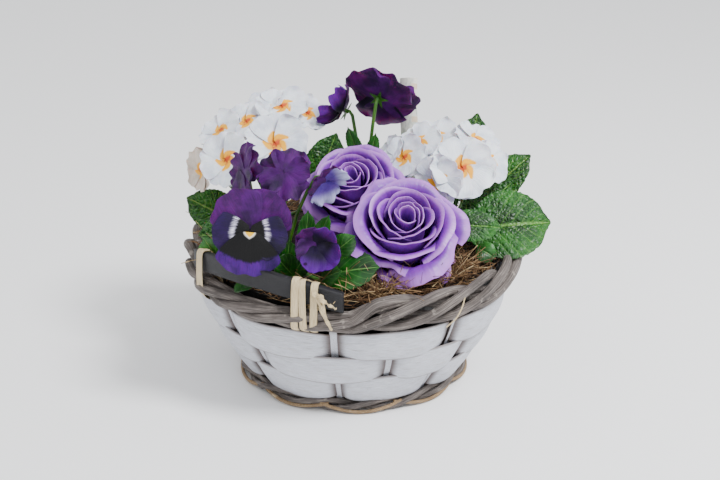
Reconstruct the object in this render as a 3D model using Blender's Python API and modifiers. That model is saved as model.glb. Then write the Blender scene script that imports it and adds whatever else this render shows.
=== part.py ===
"""A planted flower basket: a round splint basket with a willow rim, a foot and two bent handles,
filled with potting soil, two primulas, two pansy plants, two rose heads and a plant label.

Frame: metres, +Z up. The origin is the centre of the basket's underside, on the surface it stands on.
Bearings are degrees round the basket, 0 at the front (-Y), growing towards the right (+X).
"""

import math

import bmesh
import bpy
from mathutils import Matrix, Vector

# --- Driving dimensions of the basket -------------------------------------------------------------
BASE_RADIUS = 0.0708
WALL_PROFILE = (
    (0.000, 0.0715),
    (0.004, 0.0735),
    (0.010, 0.0765),
    (0.020, 0.0830),
    (0.040, 0.0945),
    (0.060, 0.1035),
    (0.076, 0.1092),
)
WALL_THICKNESS = 0.0014
STAKE_COUNT = 16
STAKE_WIDTH = 0.007
STAKE_TOP = 0.0751
FIRST_STAKE_BEARING = -7.0
ODD_STAKE_LAG = 6.0
WEAVE_DEPTH = 0.0021
BAND_LEVELS = ((0.0105, 0.0306), (0.0315, 0.0517), (0.0526, 0.0726))
BAND_POINTS_PER_WAVE = 8

RIM_RADIUS = 0.1140
RIM_HEIGHT = 0.0885
RIM_LEAN = 0.25
ROD_RADIUS = 0.0028
ROD_COUNT = 4
ROD_TURNS = 5
ROD_POINTS = 60
RIM_SWING_OUT = 0.0052
RIM_SWING_UP = 0.0099
DIP_HEIGHT = 0.0828
DIP_SWING_UP = 0.0044
DIP_MARGIN = 1.5
DIP_BLEND = 9.0

HANDLE_BEARING = -37.0
HANDLE_HALF_SPAN = 34.0
HANDLE_RADIUS = 0.1150
HANDLE_THICKNESS = 0.0050
HANDLE_DEPTH = 0.0140
HANDLE_TOP_MIDDLE = 0.1075
HANDLE_ARCH = 0.0100
HANDLE_EDGE = 0.0008
HANDLE_STEPS = 12
TIE_BEARINGS = (-61.0, -16.0)
TIE_TURNS = (2, 3)
TIE_PITCH = 2.6
TIE_RADIUS = 0.0006
TIE_OVER_BAR = 0.0013
TIE_INSIDE, TIE_OUTSIDE = 0.1033, 0.1219
TIE_BOTTOM, TIE_SHOULDER = 0.07415, 0.0880
TIE_TOP_INSIDE, TIE_TOP_OUTSIDE = 0.1108, 0.1192

FOOT_RADIUS = 0.0800
FOOT_HEIGHT = 0.0049
FOOT_ROD_RADIUS = 0.0022
FOOT_SWING = 0.0025
FOOT_TURNS = 7
FOOT_POINTS = 56

# --- What fills the basket -----------------------------------------------------------------------
LINER_RADIUS = 0.1018
LINER_TOP = 0.0892
LINER_THICKNESS = 0.0009
LINER_BOTTOM = 0.0022
FILL_LEVELS = (0.064, 0.045, 0.025, 0.010, LINER_BOTTOM)
WALL_TO_LINER = 0.0040
SOIL_GAP = 0.0004
SOIL_TOP = 0.0900
SOIL_FLAT_RADIUS = 0.0940
SOIL_SHOULDER = 0.0030
STEM_FOOT = SOIL_TOP + 0.0003  # a hair above the soil, so that nothing overlaps it
MOSS_HEIGHT = 0.0040
MOSS_CROWN = 0.0015
MOSS_RADII = (0.0905, 0.0930, 0.0965)

COLOURS = {
    "white_splint": (0.80, 0.79, 0.76),
    "willow": (0.33, 0.30, 0.27),
    "stained_wood": (0.06, 0.055, 0.065),
    "raffia": (0.78, 0.66, 0.45),
    "foil": (0.05, 0.05, 0.05),
    "soil": (0.05, 0.035, 0.025),
    "moss": (0.27, 0.19, 0.11),
    "leaf": (0.06, 0.20, 0.04),
    "stalk": (0.15, 0.30, 0.08),
    "primula_white": (0.90, 0.90, 0.90),
    "pansy_purple": (0.10, 0.01, 0.18),
    "rose_lilac": (0.48, 0.25, 0.75),
    "label": (0.85, 0.84, 0.78),
}
SHARP_ANGLE = 40.0


# --- Shared helpers --------------------------------------------------------------------------------
def clear_scene():
    for obj in list(bpy.data.objects):
        bpy.data.objects.remove(obj, do_unlink=True)


def new_collection(name):
    collection = bpy.data.collections.new(name)
    bpy.context.scene.collection.children.link(collection)
    return collection


def material(name):
    """A plain Principled material of that name, made once."""
    found = bpy.data.materials.get(name)
    if found:
        return found
    made = bpy.data.materials.new(name)
    made.use_nodes = True
    shader = made.node_tree.nodes["Principled BSDF"]
    shader.inputs["Base Color"].default_value = (*COLOURS[name], 1.0)
    shader.inputs["Roughness"].default_value = 0.7
    shader.inputs["Metallic"].default_value = 0.0
    return made


def add_object(name, data, slot):
    obj = bpy.data.objects.new(name, data)
    PARTS.objects.link(obj)
    data.materials.append(material(slot))
    return obj


def mesh_from(name, bm, slot):
    data = bpy.data.meshes.new(name)
    bmesh.ops.recalc_face_normals(bm, faces=bm.faces)
    bm.to_mesh(data)
    bm.free()
    data.shade_smooth()
    data.set_sharp_from_angle(angle=math.radians(SHARP_ANGLE))
    return add_object(name, data, slot)


def around(bearing, radius, height):
    """The point at that bearing in degrees, radius and height."""
    angle = math.radians(bearing)
    return Vector((radius * math.sin(angle), -radius * math.cos(angle), height))


def smooth_step(value):
    value = min(1.0, max(0.0, value))
    return value * value * (3.0 - 2.0 * value)


def angle_between(a, b):
    """The smallest turn from bearing b to bearing a, in degrees."""
    return (a - b + 180.0) % 360.0 - 180.0


def poly_tube(name, points, radius, slot, cyclic=False, resolution=1):
    """A round tube along a POLY spline, with filled caps where it is open."""
    curve = bpy.data.curves.new(name, "CURVE")
    curve.dimensions = "3D"
    curve.bevel_depth = radius
    curve.bevel_resolution = resolution
    curve.use_fill_caps = not cyclic
    spline = curve.splines.new("POLY")
    spline.points.add(len(points) - 1)
    for point, place in zip(spline.points, points):
        point.co = (*place, 1.0)
    spline.use_cyclic_u = cyclic
    return add_object(name, curve, slot)


def solidify(obj, thickness, offset=0.0):
    modifier = obj.modifiers.new("thickness", "SOLIDIFY")
    modifier.thickness = thickness
    modifier.offset = offset
    modifier.use_even_offset = True
    return obj


def curve_through(points, steps):
    """A Catmull-Rom curve through the points, steps pieces to each span."""
    padded = [points[0] * 2 - points[1], *points, points[-1] * 2 - points[-2]]
    made = []
    for a, b, c, d in zip(padded, padded[1:], padded[2:], padded[3:]):
        for i in range(steps):
            t = i / steps
            bend = (2 * a - 5 * b + 4 * c - d) * t * t
            twist = (3 * b - a - 3 * c + d) * t**3
            made.append(0.5 * (2 * b + (c - a) * t + bend + twist))
    return [*made, points[-1]]


# --- Basket wall -----------------------------------------------------------------------------------
def wall_radius(height):
    """Radius of the wall's middle surface: a bowl that flares quickly from the base, then slowly."""
    for (low, near), (high, far) in zip(WALL_PROFILE, WALL_PROFILE[1:]):
        if height <= high:
            return near + (far - near) * (height - low) / (high - low)
    return WALL_PROFILE[-1][1]


def stake_bearings():
    """Stakes in turn: every second one stands a little back, as hand-set stakes do."""
    step = 360.0 / STAKE_COUNT
    return [FIRST_STAKE_BEARING + step * i - (ODD_STAKE_LAG if i % 2 else 0.0) for i in range(STAKE_COUNT)]


def base_and_stakes():
    """The flat base and the stakes that turn up from its edge, as one folded splint sheet."""
    bm = bmesh.new()
    bearings = stake_bearings()
    half = math.degrees(STAKE_WIDTH / 2 / BASE_RADIUS)
    rim, tabs = [], []
    for i, bearing in enumerate(bearings):
        left = bm.verts.new(around(bearing - half, BASE_RADIUS, 0.0))
        right = bm.verts.new(around(bearing + half, BASE_RADIUS, 0.0))
        following = bearings[(i + 1) % STAKE_COUNT] + (360.0 if i == STAKE_COUNT - 1 else 0.0)
        middle = bm.verts.new(around((bearing + following) / 2, BASE_RADIUS, 0.0))
        rim += [left, right, middle]
        tabs.append((bearing, left, right))
    bm.faces.new(rim)
    heights = (*(height for height, _ in WALL_PROFILE[1:-1]), STAKE_TOP)
    for bearing, left, right in tabs:
        below = (left, right)
        side = around(bearing + 90.0, STAKE_WIDTH / 2, 0.0)
        for height in heights:
            centre = around(bearing, wall_radius(height) + WALL_THICKNESS / 2, height)
            above = (bm.verts.new(centre - side), bm.verts.new(centre + side))
            bm.faces.new((below[0], below[1], above[1], above[0]))
            below = above
    obj = mesh_from("base_and_stakes", bm, "white_splint")
    if obj.data.polygons[0].normal.z > 0:
        obj.data.flip_normals()
    return solidify(obj, WALL_THICKNESS, offset=-1.0)


def weave_bearings():
    """Bearings along a band with their phase: 0 over an even stake, pi over an odd one."""
    bearings = stake_bearings()
    half = BAND_POINTS_PER_WAVE // 2
    for i, bearing in enumerate(bearings):
        following = bearings[(i + 1) % STAKE_COUNT] + (360.0 if i == STAKE_COUNT - 1 else 0.0)
        for j in range(half):
            share = j / half
            yield bearing + (following - bearing) * share, math.pi * (i + share)


def wall_band(name, level, outside_even):
    """One wide splint woven round the stakes: outside every second one and inside the others."""
    bm = bmesh.new()
    low, high = level
    levels = (low, (low + high) / 2, high)
    sign = 1.0 if outside_even else -1.0
    columns = []
    for bearing, phase in weave_bearings():
        swing = sign * WEAVE_DEPTH * math.cos(phase)
        columns.append([bm.verts.new(around(bearing, wall_radius(z) + swing, z)) for z in levels])
    for near, far in zip(columns, columns[1:] + columns[:1]):
        for k in range(len(levels) - 1):
            bm.faces.new((near[k], far[k], far[k + 1], near[k + 1]))
    return solidify(mesh_from(name, bm, "white_splint"), WALL_THICKNESS)


# --- Rim, foot and handles -------------------------------------------------------------------------
def under_handle(bearing):
    """1 where a handle lies on the rim and 0 away from it, with a smooth change between."""
    share = 0.0
    for middle in (HANDLE_BEARING, HANDLE_BEARING + 180.0):
        past = abs(angle_between(bearing, middle)) - HANDLE_HALF_SPAN - DIP_MARGIN
        share = max(share, 1.0 - smooth_step(past / DIP_BLEND))
    return share


def rim_point(bearing, phase):
    """A point of a rim rod, which winds round the rim's own line and dips under the handles."""
    dip = under_handle(bearing)
    height = RIM_HEIGHT + (DIP_HEIGHT - RIM_HEIGHT) * dip
    swing_up = RIM_SWING_UP + (DIP_SWING_UP - RIM_SWING_UP) * dip
    z = height + swing_up * math.sin(phase)
    radius = RIM_RADIUS + RIM_SWING_OUT * math.cos(phase) + RIM_LEAN * (z - RIM_HEIGHT)
    return around(bearing, radius, z)


def rim_rod(number):
    lowest_at = math.radians(FIRST_STAKE_BEARING) * ROD_TURNS + math.pi / 2
    start = 2 * math.pi * number / ROD_COUNT - lowest_at
    points = []
    for i in range(ROD_POINTS):
        bearing = 360.0 * i / ROD_POINTS
        points.append(rim_point(bearing, start + ROD_TURNS * math.radians(bearing)))
    return poly_tube(f"rim_rod_{number + 1}", points, ROD_RADIUS, "willow", cyclic=True)


def foot_rod(number):
    points = []
    for i in range(FOOT_POINTS):
        bearing = 360.0 * i / FOOT_POINTS
        phase = math.pi * number + FOOT_TURNS * math.radians(bearing)
        radius = FOOT_RADIUS + FOOT_SWING * math.cos(phase)
        points.append(around(bearing, radius, FOOT_HEIGHT + FOOT_SWING * math.sin(phase)))
    return poly_tube(f"foot_rod_{number + 1}", points, FOOT_ROD_RADIUS, "willow", cyclic=True)


def handle_height(offset):
    """Height of the handle's middle line at that bearing from its middle."""
    share = offset / HANDLE_HALF_SPAN
    return HANDLE_TOP_MIDDLE - HANDLE_ARCH * share * share


def handle(name, middle):
    """A flat bar bent to the rim's circle and arched, with its ends on the rim rods."""
    bm = bmesh.new()
    columns = []
    for i in range(HANDLE_STEPS + 1):
        offset = HANDLE_HALF_SPAN * (2.0 * i / HANDLE_STEPS - 1.0)
        z = handle_height(offset)
        levels = (z - HANDLE_DEPTH / 2, z + HANDLE_DEPTH / 2)
        columns.append([bm.verts.new(around(middle + offset, HANDLE_RADIUS, level)) for level in levels])
    for near, far in zip(columns, columns[1:]):
        bm.faces.new((near[0], far[0], far[1], near[1]))
    bar = solidify(mesh_from(name, bm, "stained_wood"), HANDLE_THICKNESS)
    worn = bar.modifiers.new("worn_edges", "BEVEL")
    worn.width = HANDLE_EDGE
    worn.segments = 1
    worn.limit_method = "ANGLE"
    worn.angle_limit = math.radians(60.0)


def tie(name, middle, bearing, turns):
    """A raffia strand wound round the handle and the rim rods under it."""
    top = handle_height(bearing - HANDLE_BEARING) + HANDLE_DEPTH / 2 + TIE_OVER_BAR
    loop = (
        (TIE_INSIDE, TIE_BOTTOM),
        (TIE_OUTSIDE, TIE_BOTTOM),
        (TIE_OUTSIDE, TIE_SHOULDER),
        (TIE_TOP_OUTSIDE, top),
        (TIE_TOP_INSIDE, top),
        (TIE_INSIDE, TIE_SHOULDER),
    )
    points = []
    for i in range(turns * len(loop) + 1):
        radius, height = loop[i % len(loop)]
        along = TIE_PITCH * (i / len(loop) - turns / 2)
        points.append(around(middle + bearing - HANDLE_BEARING + along, radius, height))
    return poly_tube(name, points, TIE_RADIUS, "raffia")


# --- Liner and soil --------------------------------------------------------------------------------
def turned(name, profile, slot, steps=28):
    """A profile of (radius, height) points turned about the basket's axis, outer side from the top down."""
    bm = bmesh.new()
    verts = [bm.verts.new((radius, 0.0, height)) for radius, height in profile]
    for a, b in zip(verts, verts[1:]):
        bm.edges.new((a, b))
    data = bpy.data.meshes.new(name)
    bm.to_mesh(data)
    bm.free()
    obj = add_object(name, data, slot)
    screw = obj.modifiers.new("turn", "SCREW")
    screw.steps = steps
    screw.render_steps = steps
    screw.use_smooth_shade = True
    screw.use_merge_vertices = True
    screw.merge_threshold = 0.0001
    return obj


def liner_radius(height):
    return min(LINER_RADIUS, wall_radius(height) - WALL_TO_LINER)


def liner():
    """The black foil that keeps the soil in: an open bowl."""
    heights = (LINER_TOP, *FILL_LEVELS)
    floor = LINER_BOTTOM + LINER_THICKNESS
    outer = [(liner_radius(z), z) for z in heights] + [(0.0, LINER_BOTTOM)]
    inner = [(0.0, floor)] + [(liner_radius(z) - LINER_THICKNESS, max(z, floor)) for z in reversed(heights)]
    return turned("liner_foil", outer + inner + [outer[0]], "foil")


def soil():
    """The potting soil that fills the liner, flat on top."""
    skin = LINER_THICKNESS + SOIL_GAP
    floor = LINER_BOTTOM + skin
    sides = [(liner_radius(z) - skin, max(z, floor)) for z in (SOIL_TOP - SOIL_SHOULDER, *FILL_LEVELS)]
    return turned("soil", [(0.0, SOIL_TOP), (SOIL_FLAT_RADIUS, SOIL_TOP), *sides, (0.0, floor)], "soil")


def moss_pad():
    """A low ring of dry moss round the edge of the soil."""
    high = SOIL_TOP + MOSS_HEIGHT
    shoulder = high - MOSS_CROWN
    inner, top, outer = MOSS_RADII
    profile = ((inner, shoulder), (top, high), (outer, shoulder), (outer, STEM_FOOT), (inner, STEM_FOOT))
    return turned("moss_ring", [*profile, profile[0]], "moss")


# --- Plants ----------------------------------------------------------------------------------------
THROAT_RADIUS = 0.0025
LEAF_THICKNESS = 0.0012
STALK_RADIUS = 0.0013
CROWN_RADIUS = 0.0065
CROWN_HEIGHT = 0.012
NECK = 0.005
JOIN_GAP = 0.0009

# Blossoms: name, centre, facing, face radius
LEFT_PRIMULA = (
    ("primula_left_flower_1", (-0.0550, 0.0000, 0.1690), (0.10, -0.75, 0.62), 0.0180),
    ("primula_left_flower_2", (-0.0880, -0.0110, 0.1600), (-0.30, -0.80, 0.45), 0.0165),
    ("primula_left_flower_3", (-0.0900, 0.0250, 0.1710), (-0.55, -0.20, 0.80), 0.0165),
    ("primula_left_flower_4", (-0.0520, 0.0400, 0.1840), (0.00, -0.25, 1.00), 0.0180),
    ("primula_left_flower_5", (-0.1100, 0.0050, 0.1480), (-0.90, -0.25, 0.20), 0.0150),
)
RIGHT_PRIMULA = (
    ("primula_right_flower_1", (0.0760, -0.0200, 0.1570), (0.00, -0.80, 0.55), 0.0200),
    ("primula_right_flower_2", (0.0560, -0.0200, 0.1465), (-0.85, -0.45, 0.15), 0.0130),
    ("primula_right_flower_3", (0.0360, -0.0020, 0.1600), (-0.45, -0.45, 0.70), 0.0150),
    ("primula_right_flower_4", (0.0600, 0.0280, 0.1660), (-0.10, -0.10, 1.00), 0.0165),
    ("primula_right_flower_5", (0.0920, 0.0220, 0.1640), (0.35, 0.05, 0.90), 0.0165),
)
FRONT_PANSY = (
    ("pansy_front", (-0.0665, -0.0910, 0.1355), (0.00, -0.97, 0.20), 0.0235),
    ("pansy_bud", (-0.0236, -0.0900, 0.1260), (0.05, -0.95, 0.10), 0.0120),
    ("pansy_left", (-0.0760, -0.0560, 0.1690), (-0.85, -0.35, 0.25), 0.0180),
    ("pansy_ruffled", (-0.0460, -0.0560, 0.1690), (-0.10, -0.60, 0.80), 0.0170),
    ("pansy_wilted", (-0.0170, -0.0600, 0.1590), (0.60, -0.50, -0.20), 0.0130),
)
BACK_PANSY = (
    ("pansy_tall", (0.0200, 0.0340, 0.1960), (0.25, 0.60, 0.30), 0.0250),
    ("pansy_tall_small", (-0.0100, 0.0400, 0.1840), (-0.65, 0.25, 0.30), 0.0170),
)

# Leaf blades: name, base, tip, width, facing, bow of the middle along the facing
RIGHT_PRIMULA_LEAVES = (
    ("primula_right_leaf_1", (0.082, 0.042, 0.115), (0.092, 0.056, 0.176), 0.03, (0.0, -1.0, 0.3), -0.004),
    ("primula_right_leaf_2", (0.092, 0.026, 0.112), (0.126, 0.036, 0.145), 0.026, (-0.5, -0.7, 0.6), 0.004),
    ("primula_right_leaf_3", (0.086, 0.004, 0.113), (0.112, 0.008, 0.146), 0.026, (-0.6, -0.7, 0.5), 0.003),
    ("primula_right_leaf_4", (0.086, -0.021, 0.108), (0.139, -0.025, 0.105), 0.04, (0.0, -0.4, 0.9), 0.004),
    ("primula_right_leaf_5", (0.068, -0.04, 0.118), (0.099, -0.052, 0.121), 0.02, (0.0, -0.7, 0.7), 0.002),
    ("primula_right_leaf_6", (0.05, 0.004, 0.118), (0.037, -0.017, 0.138), 0.017, (-0.3, -0.5, 0.9), 0.001),
)
LEFT_PRIMULA_LEAVES = (
    ("primula_left_leaf_1", (-0.036, 0.02, 0.118), (-0.018, 0.024, 0.176), 0.027, (0.1, -1.0, 0.3), -0.003),
    ("primula_left_leaf_2", (-0.088, 0.02, 0.104), (-0.12, 0.008, 0.122), 0.028, (-0.3, -0.5, 0.9), 0.004),
    ("primula_left_leaf_3", (-0.08, -0.018, 0.098), (-0.106, -0.038, 0.112), 0.026, (-0.2, -0.7, 0.8), 0.003),
)
FRONT_PANSY_LEAVES = (
    ("pansy_leaf_1", (-0.016, -0.078, 0.098), (0.016, -0.092, 0.108), 0.024, (0.0, -0.7, 0.8), 0.003),
    ("pansy_leaf_2", (-0.012, -0.062, 0.106), (-0.009, -0.076, 0.129), 0.013, (0.1, -1.0, 0.4), 0.0),
    ("pansy_leaf_3", (-0.042, -0.074, 0.098), (-0.048, -0.087, 0.106), 0.016, (0.1, -0.7, 0.8), 0.0),
)


def turn_towards(facing):
    """A rotation that carries +Z to the facing."""
    return Vector(facing).normalized().to_track_quat("Z", "Y").to_matrix().to_4x4()


def cone(name, slot, throat, mouth, depth, sides):
    bm = bmesh.new()
    bmesh.ops.create_cone(bm, cap_ends=True, segments=sides, radius1=throat, radius2=mouth, depth=depth)
    return mesh_from(name, bm, slot)


def blossom(name, centre, facing, radius, depth, slot):
    """A blossom as a solid cup: a narrow throat behind and the wide face in front."""
    head = cone(name, slot, THROAT_RADIUS, radius, depth, 14)
    head.matrix_world = Matrix.Translation(Vector(centre)) @ turn_towards(facing)


def leaf(name, base, tip, width, facing, bow, rows=5):
    """A leaf blade: a thin plate, folded along its middle, from its base to its tip."""
    base, tip, facing = Vector(base), Vector(tip), Vector(facing).normalized()
    along = tip - base
    across = along.cross(facing).normalized()
    facing = across.cross(along).normalized()
    bm = bmesh.new()
    lines = []
    for i in range(rows + 1):
        share = i / rows
        half = width / 2 * (0.25 + 0.75 * math.sin(math.pi * (0.08 + 0.80 * share)) ** 0.8)
        middle = base + along * share + facing * bow * math.sin(math.pi * share)
        fold = facing * half * 0.15
        edge = across * half
        lines.append([bm.verts.new(place) for place in (middle - edge + fold, middle, middle + edge + fold)])
    for near, far in zip(lines, lines[1:]):
        for k in range(2):
            bm.faces.new((near[k], near[k + 1], far[k + 1], far[k]))
    solidify(mesh_from(name, bm, "leaf"), LEAF_THICKNESS)


def joining_tube(name, path, radius):
    """A closed stalk tube as a mesh, kept as a guide for the union that joins it to its crown."""
    curve_object = poly_tube(name, path, radius, "stalk")
    bpy.context.view_layer.update()
    data = bpy.data.meshes.new_from_object(curve_object.evaluated_get(bpy.context.evaluated_depsgraph_get()))
    bpy.data.objects.remove(curve_object, do_unlink=True)
    bm = bmesh.new()
    bm.from_mesh(data)
    bmesh.ops.remove_doubles(bm, verts=bm.verts, dist=0.00002)
    bmesh.ops.recalc_face_normals(bm, faces=bm.faces)
    bm.to_mesh(data)
    bm.free()
    tube = bpy.data.objects.new(name, data)
    GUIDES.objects.link(tube)
    tube.hide_render = True
    tube.display_type = "WIRE"
    return tube


def stalk_path(crown, end, arrival):
    """From the crown upwards, then out to the end, arriving along the direction given."""
    neck = end - arrival * NECK
    knee = crown.lerp(neck, 0.45)
    knee.z = crown.z + (neck.z - crown.z) * 0.60
    return curve_through([crown, knee, neck, end], 2)


def plant(name, crown, blossoms, blades, depth, slot):
    """One plant: its blossoms and leaf blades, and the crown with a stalk to each of them as one piece."""
    ends = []
    for head, centre, facing, size in blossoms:
        blossom(head, centre, facing, size, depth, slot)
        arrival = Vector(facing).normalized()
        ends.append((Vector(centre) - arrival * (depth / 2 + JOIN_GAP), arrival))
    for blade, base, tip, width, facing, bow in blades:
        leaf(blade, base, tip, width, facing, bow)
        arrival = (Vector(tip) - Vector(base)).normalized()
        ends.append((Vector(base) - arrival * JOIN_GAP, arrival))
    heart = cone(name, "stalk", CROWN_RADIUS, CROWN_RADIUS * 0.8, CROWN_HEIGHT, 10)
    heart.location = (*crown, STEM_FOOT + CROWN_HEIGHT / 2)
    for i, (end, arrival) in enumerate(ends):
        join = heart.modifiers.new(f"stalk_{i + 1}", "BOOLEAN")
        join.operation = "UNION"
        join.solver = "EXACT"
        path = stalk_path(Vector(heart.location), end, arrival)
        join.object = joining_tube(f"{name}_{i + 1}", path, STALK_RADIUS)


# Crowns on the soil: name, place, blossoms, leaf blades, depth of a blossom, slot of the blossoms
PLANTS = (
    ("primula_left_stalks", (-0.070, 0.018), LEFT_PRIMULA, LEFT_PRIMULA_LEAVES, 0.012, "primula_white"),
    ("primula_right_stalks", (0.070, 0.012), RIGHT_PRIMULA, RIGHT_PRIMULA_LEAVES, 0.012, "primula_white"),
    ("pansy_front_stalks", (-0.048, -0.048), FRONT_PANSY, FRONT_PANSY_LEAVES, 0.010, "pansy_purple"),
    ("pansy_back_stalks", (0.008, 0.030), BACK_PANSY, (), 0.010, "pansy_purple"),
)


# Rose heads: name, centre, facing, radius, height
ROSES = (
    ("rose_front", (0.0350, -0.0600, 0.1260), (-0.08, -0.50, 0.86), 0.0290, 0.0540),
    ("rose_back", (0.0000, -0.0170, 0.1400), (-0.12, -0.50, 0.86), 0.0270, 0.0500),
)
ROSE_STEM_RADIUS = 0.0022
ROSE_PROFILE = (
    (0.00, 0.50),
    (0.35, 0.48),
    (0.75, 0.40),
    (1.00, 0.18),
    (0.95, -0.10),
    (0.70, -0.36),
    (0.22, -0.50),
    (0.00, -0.50),
)


def roses():
    """Two cut rose heads, each on a short stem that stands on the soil."""
    for name, centre, facing, radius, height in ROSES:
        profile = [(out * radius, up * height) for out, up in ROSE_PROFILE]
        head = turned(name, profile, "rose_lilac", steps=14)
        head.matrix_world = Matrix.Translation(Vector(centre)) @ turn_towards(facing)
        arrival = Vector(facing).normalized()
        top = Vector(centre) - arrival * (height / 2 + JOIN_GAP)
        neck = top - arrival * 0.003
        foot = Vector((neck.x, neck.y + 0.001, STEM_FOOT))
        path = [foot, foot + Vector((0, 0, 0.002)), neck, top]
        poly_tube(f"{name}_stem", path, ROSE_STEM_RADIUS, "stalk")


# --- The grower's label ------------------------------------------------------------------------------
LABEL_PLACE = (0.0420, 0.0500)
LABEL_TURN = 25.0
LABEL_WIDTH = 0.0120
LABEL_TOP = 0.2050
LABEL_THICKNESS = 0.0010


def plant_label():
    """A flat stake of stiff card, pointed below, with its foot on the soil."""
    half = LABEL_WIDTH / 2
    shoulder = STEM_FOOT + 0.020
    outline = ((-half / 2, STEM_FOOT), (half / 2, STEM_FOOT), (half, shoulder), (half, LABEL_TOP))
    outline += ((-half, LABEL_TOP), (-half, shoulder))
    curve = bpy.data.curves.new("plant_label", "CURVE")
    curve.dimensions = "2D"
    curve.fill_mode = "BOTH"
    curve.extrude = LABEL_THICKNESS / 2
    spline = curve.splines.new("POLY")
    spline.points.add(len(outline) - 1)
    for point, (x, y) in zip(spline.points, outline):
        point.co = (x, y, 0.0, 1.0)
    spline.use_cyclic_u = True
    card = add_object("plant_label", curve, "label")
    card.location = (*LABEL_PLACE, 0.0)
    card.rotation_euler = (math.radians(90.0), 0.0, math.radians(LABEL_TURN))


def build():
    base_and_stakes()
    for i, level in enumerate(BAND_LEVELS):
        wall_band(f"wall_band_{i + 1}", level, outside_even=i == 1)
    for i in range(ROD_COUNT):
        rim_rod(i)
    for i in range(2):
        foot_rod(i)
    for side, middle in (("front", HANDLE_BEARING), ("back", HANDLE_BEARING + 180.0)):
        handle(f"handle_{side}", middle)
        for i, (bearing, turns) in enumerate(zip(TIE_BEARINGS, TIE_TURNS)):
            tie(f"raffia_tie_{side}_{i + 1}", middle, bearing, turns)
    liner()
    soil()
    moss_pad()
    for place in PLANTS:
        plant(*place)
    roses()
    plant_label()


clear_scene()
PARTS = new_collection("flower_basket")
GUIDES = new_collection("stalk_guides")
build()
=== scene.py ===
import math
import random

import bmesh
import bpy
from mathutils import Matrix, Vector, noise


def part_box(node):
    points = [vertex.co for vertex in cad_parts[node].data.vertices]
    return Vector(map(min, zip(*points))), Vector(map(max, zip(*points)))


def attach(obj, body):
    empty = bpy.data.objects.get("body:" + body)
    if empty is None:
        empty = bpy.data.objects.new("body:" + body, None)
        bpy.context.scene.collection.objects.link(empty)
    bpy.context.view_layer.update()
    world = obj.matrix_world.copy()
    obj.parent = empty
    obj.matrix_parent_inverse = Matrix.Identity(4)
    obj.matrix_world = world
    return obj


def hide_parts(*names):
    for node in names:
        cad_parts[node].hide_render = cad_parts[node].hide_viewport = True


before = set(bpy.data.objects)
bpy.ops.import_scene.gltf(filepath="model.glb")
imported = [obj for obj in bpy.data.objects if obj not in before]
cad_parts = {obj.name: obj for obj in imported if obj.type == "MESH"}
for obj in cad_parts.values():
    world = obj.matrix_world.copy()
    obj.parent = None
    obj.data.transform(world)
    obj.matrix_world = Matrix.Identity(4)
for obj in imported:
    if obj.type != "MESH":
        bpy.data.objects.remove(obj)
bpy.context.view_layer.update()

# The looks of the planted flower basket. Metres, +Z up, the front towards -Y.
# Bearings are degrees round the basket, 0 at the front, growing towards the right (+X).

# --- Sizes of the basket: from the frame where a box gives them, and else the CAD's own -----------------
BANDS = [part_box(f"wall_band_{i}") for i in (1, 2, 3)]
SOIL_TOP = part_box("soil")[1][2]
SOIL_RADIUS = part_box("soil")[1][0]
WALL_PROFILE = ((0.0, 0.0715), (0.004, 0.0735), (0.010, 0.0765), (0.020, 0.0830), (0.040, 0.0945),
                (0.060, 0.1035), (0.076, 0.1092))
SEAM_BEARINGS = {0: -7.0, 1: 9.5, 2: -7.0}
SEAM_SHIFTS = {(1, 0): 4.5, (1, 7): -5.5, (1, 1): -4.5, (0, 1): 1.5}
CHIPS_PER_BAND = 8
RIM_RADIUS, RIM_HEIGHT, RIM_LEAN = 0.1140, 0.0885, 0.25
RIM_SWING_OUT, RIM_SWING_UP, ROD_TURNS, ROD_LOW_BEARING = 0.0052, 0.0099, 5, -7.0
DIP_HEIGHT, DIP_SWING_UP, DIP_BLEND = 0.0828, 0.0044, 9.0
HANDLE_BEARING, HANDLE_HALF_SPAN, HANDLE_RADIUS = -37.0, 34.0, 0.1150
HANDLE_TOP_MIDDLE, HANDLE_ARCH, HANDLE_DEPTH = 0.1075, 0.0100, 0.0140
HANDLE_THICKNESS, HANDLE_EDGE = 0.0050, 0.0009
FOOT_RADIUS, FOOT_HEIGHT, FOOT_SWING, FOOT_TURNS = 0.0800, 0.0049, 0.0025, 7
SPLINT_THICKNESS, STAKE_WIDTH, STAKE_COUNT, ODD_STAKE_LAG = 0.0012, 0.0052, 16, 6.0
BASE_RADIUS, BASE_THICKNESS = 0.0715, 0.0016


def wall_radius(height):
    for (low, near), (high, far) in zip(WALL_PROFILE, WALL_PROFILE[1:]):
        if height <= high:
            return near + (far - near) * (height - low) / (high - low)
    return WALL_PROFILE[-1][1]


def around(bearing, radius, height):
    """The point at that bearing in degrees, radius and height."""
    angle = math.radians(bearing)
    return Vector((radius * math.sin(angle), -radius * math.cos(angle), height))


def clamp(value):
    return min(1.0, max(0.0, value))


def smooth_step(value):
    value = clamp(value)
    return value * value * (3.0 - 2.0 * value)


def angle_between(a, b):
    return (a - b + 180.0) % 360.0 - 180.0


def centre_of(node):
    low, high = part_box(node)
    return (Vector(low) + Vector(high)) / 2


def rough(place, scale, seed=0.0):
    """Smooth noise from -1 to 1 at a place, with features about scale across."""
    return noise.noise(Vector(place) / scale + Vector((seed, seed * 1.7, seed * 0.3)))


def curve_through(points, steps):
    """A Catmull-Rom curve through the points, with steps pieces to each span."""
    points = [Vector(point) for point in points]
    padded = [points[0] * 2 - points[1], *points, points[-1] * 2 - points[-2]]
    made = []
    for a, b, c, d in zip(padded, padded[1:], padded[2:], padded[3:]):
        for i in range(steps):
            t = i / steps
            square, cube = t * t, t * t * t
            made.append(0.5 * (2 * b + (c - a) * t + (2 * a - 5 * b + 4 * c - d) * square
                               + (3 * b - a - 3 * c + d) * cube))
    return [*made, points[-1]]


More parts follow.
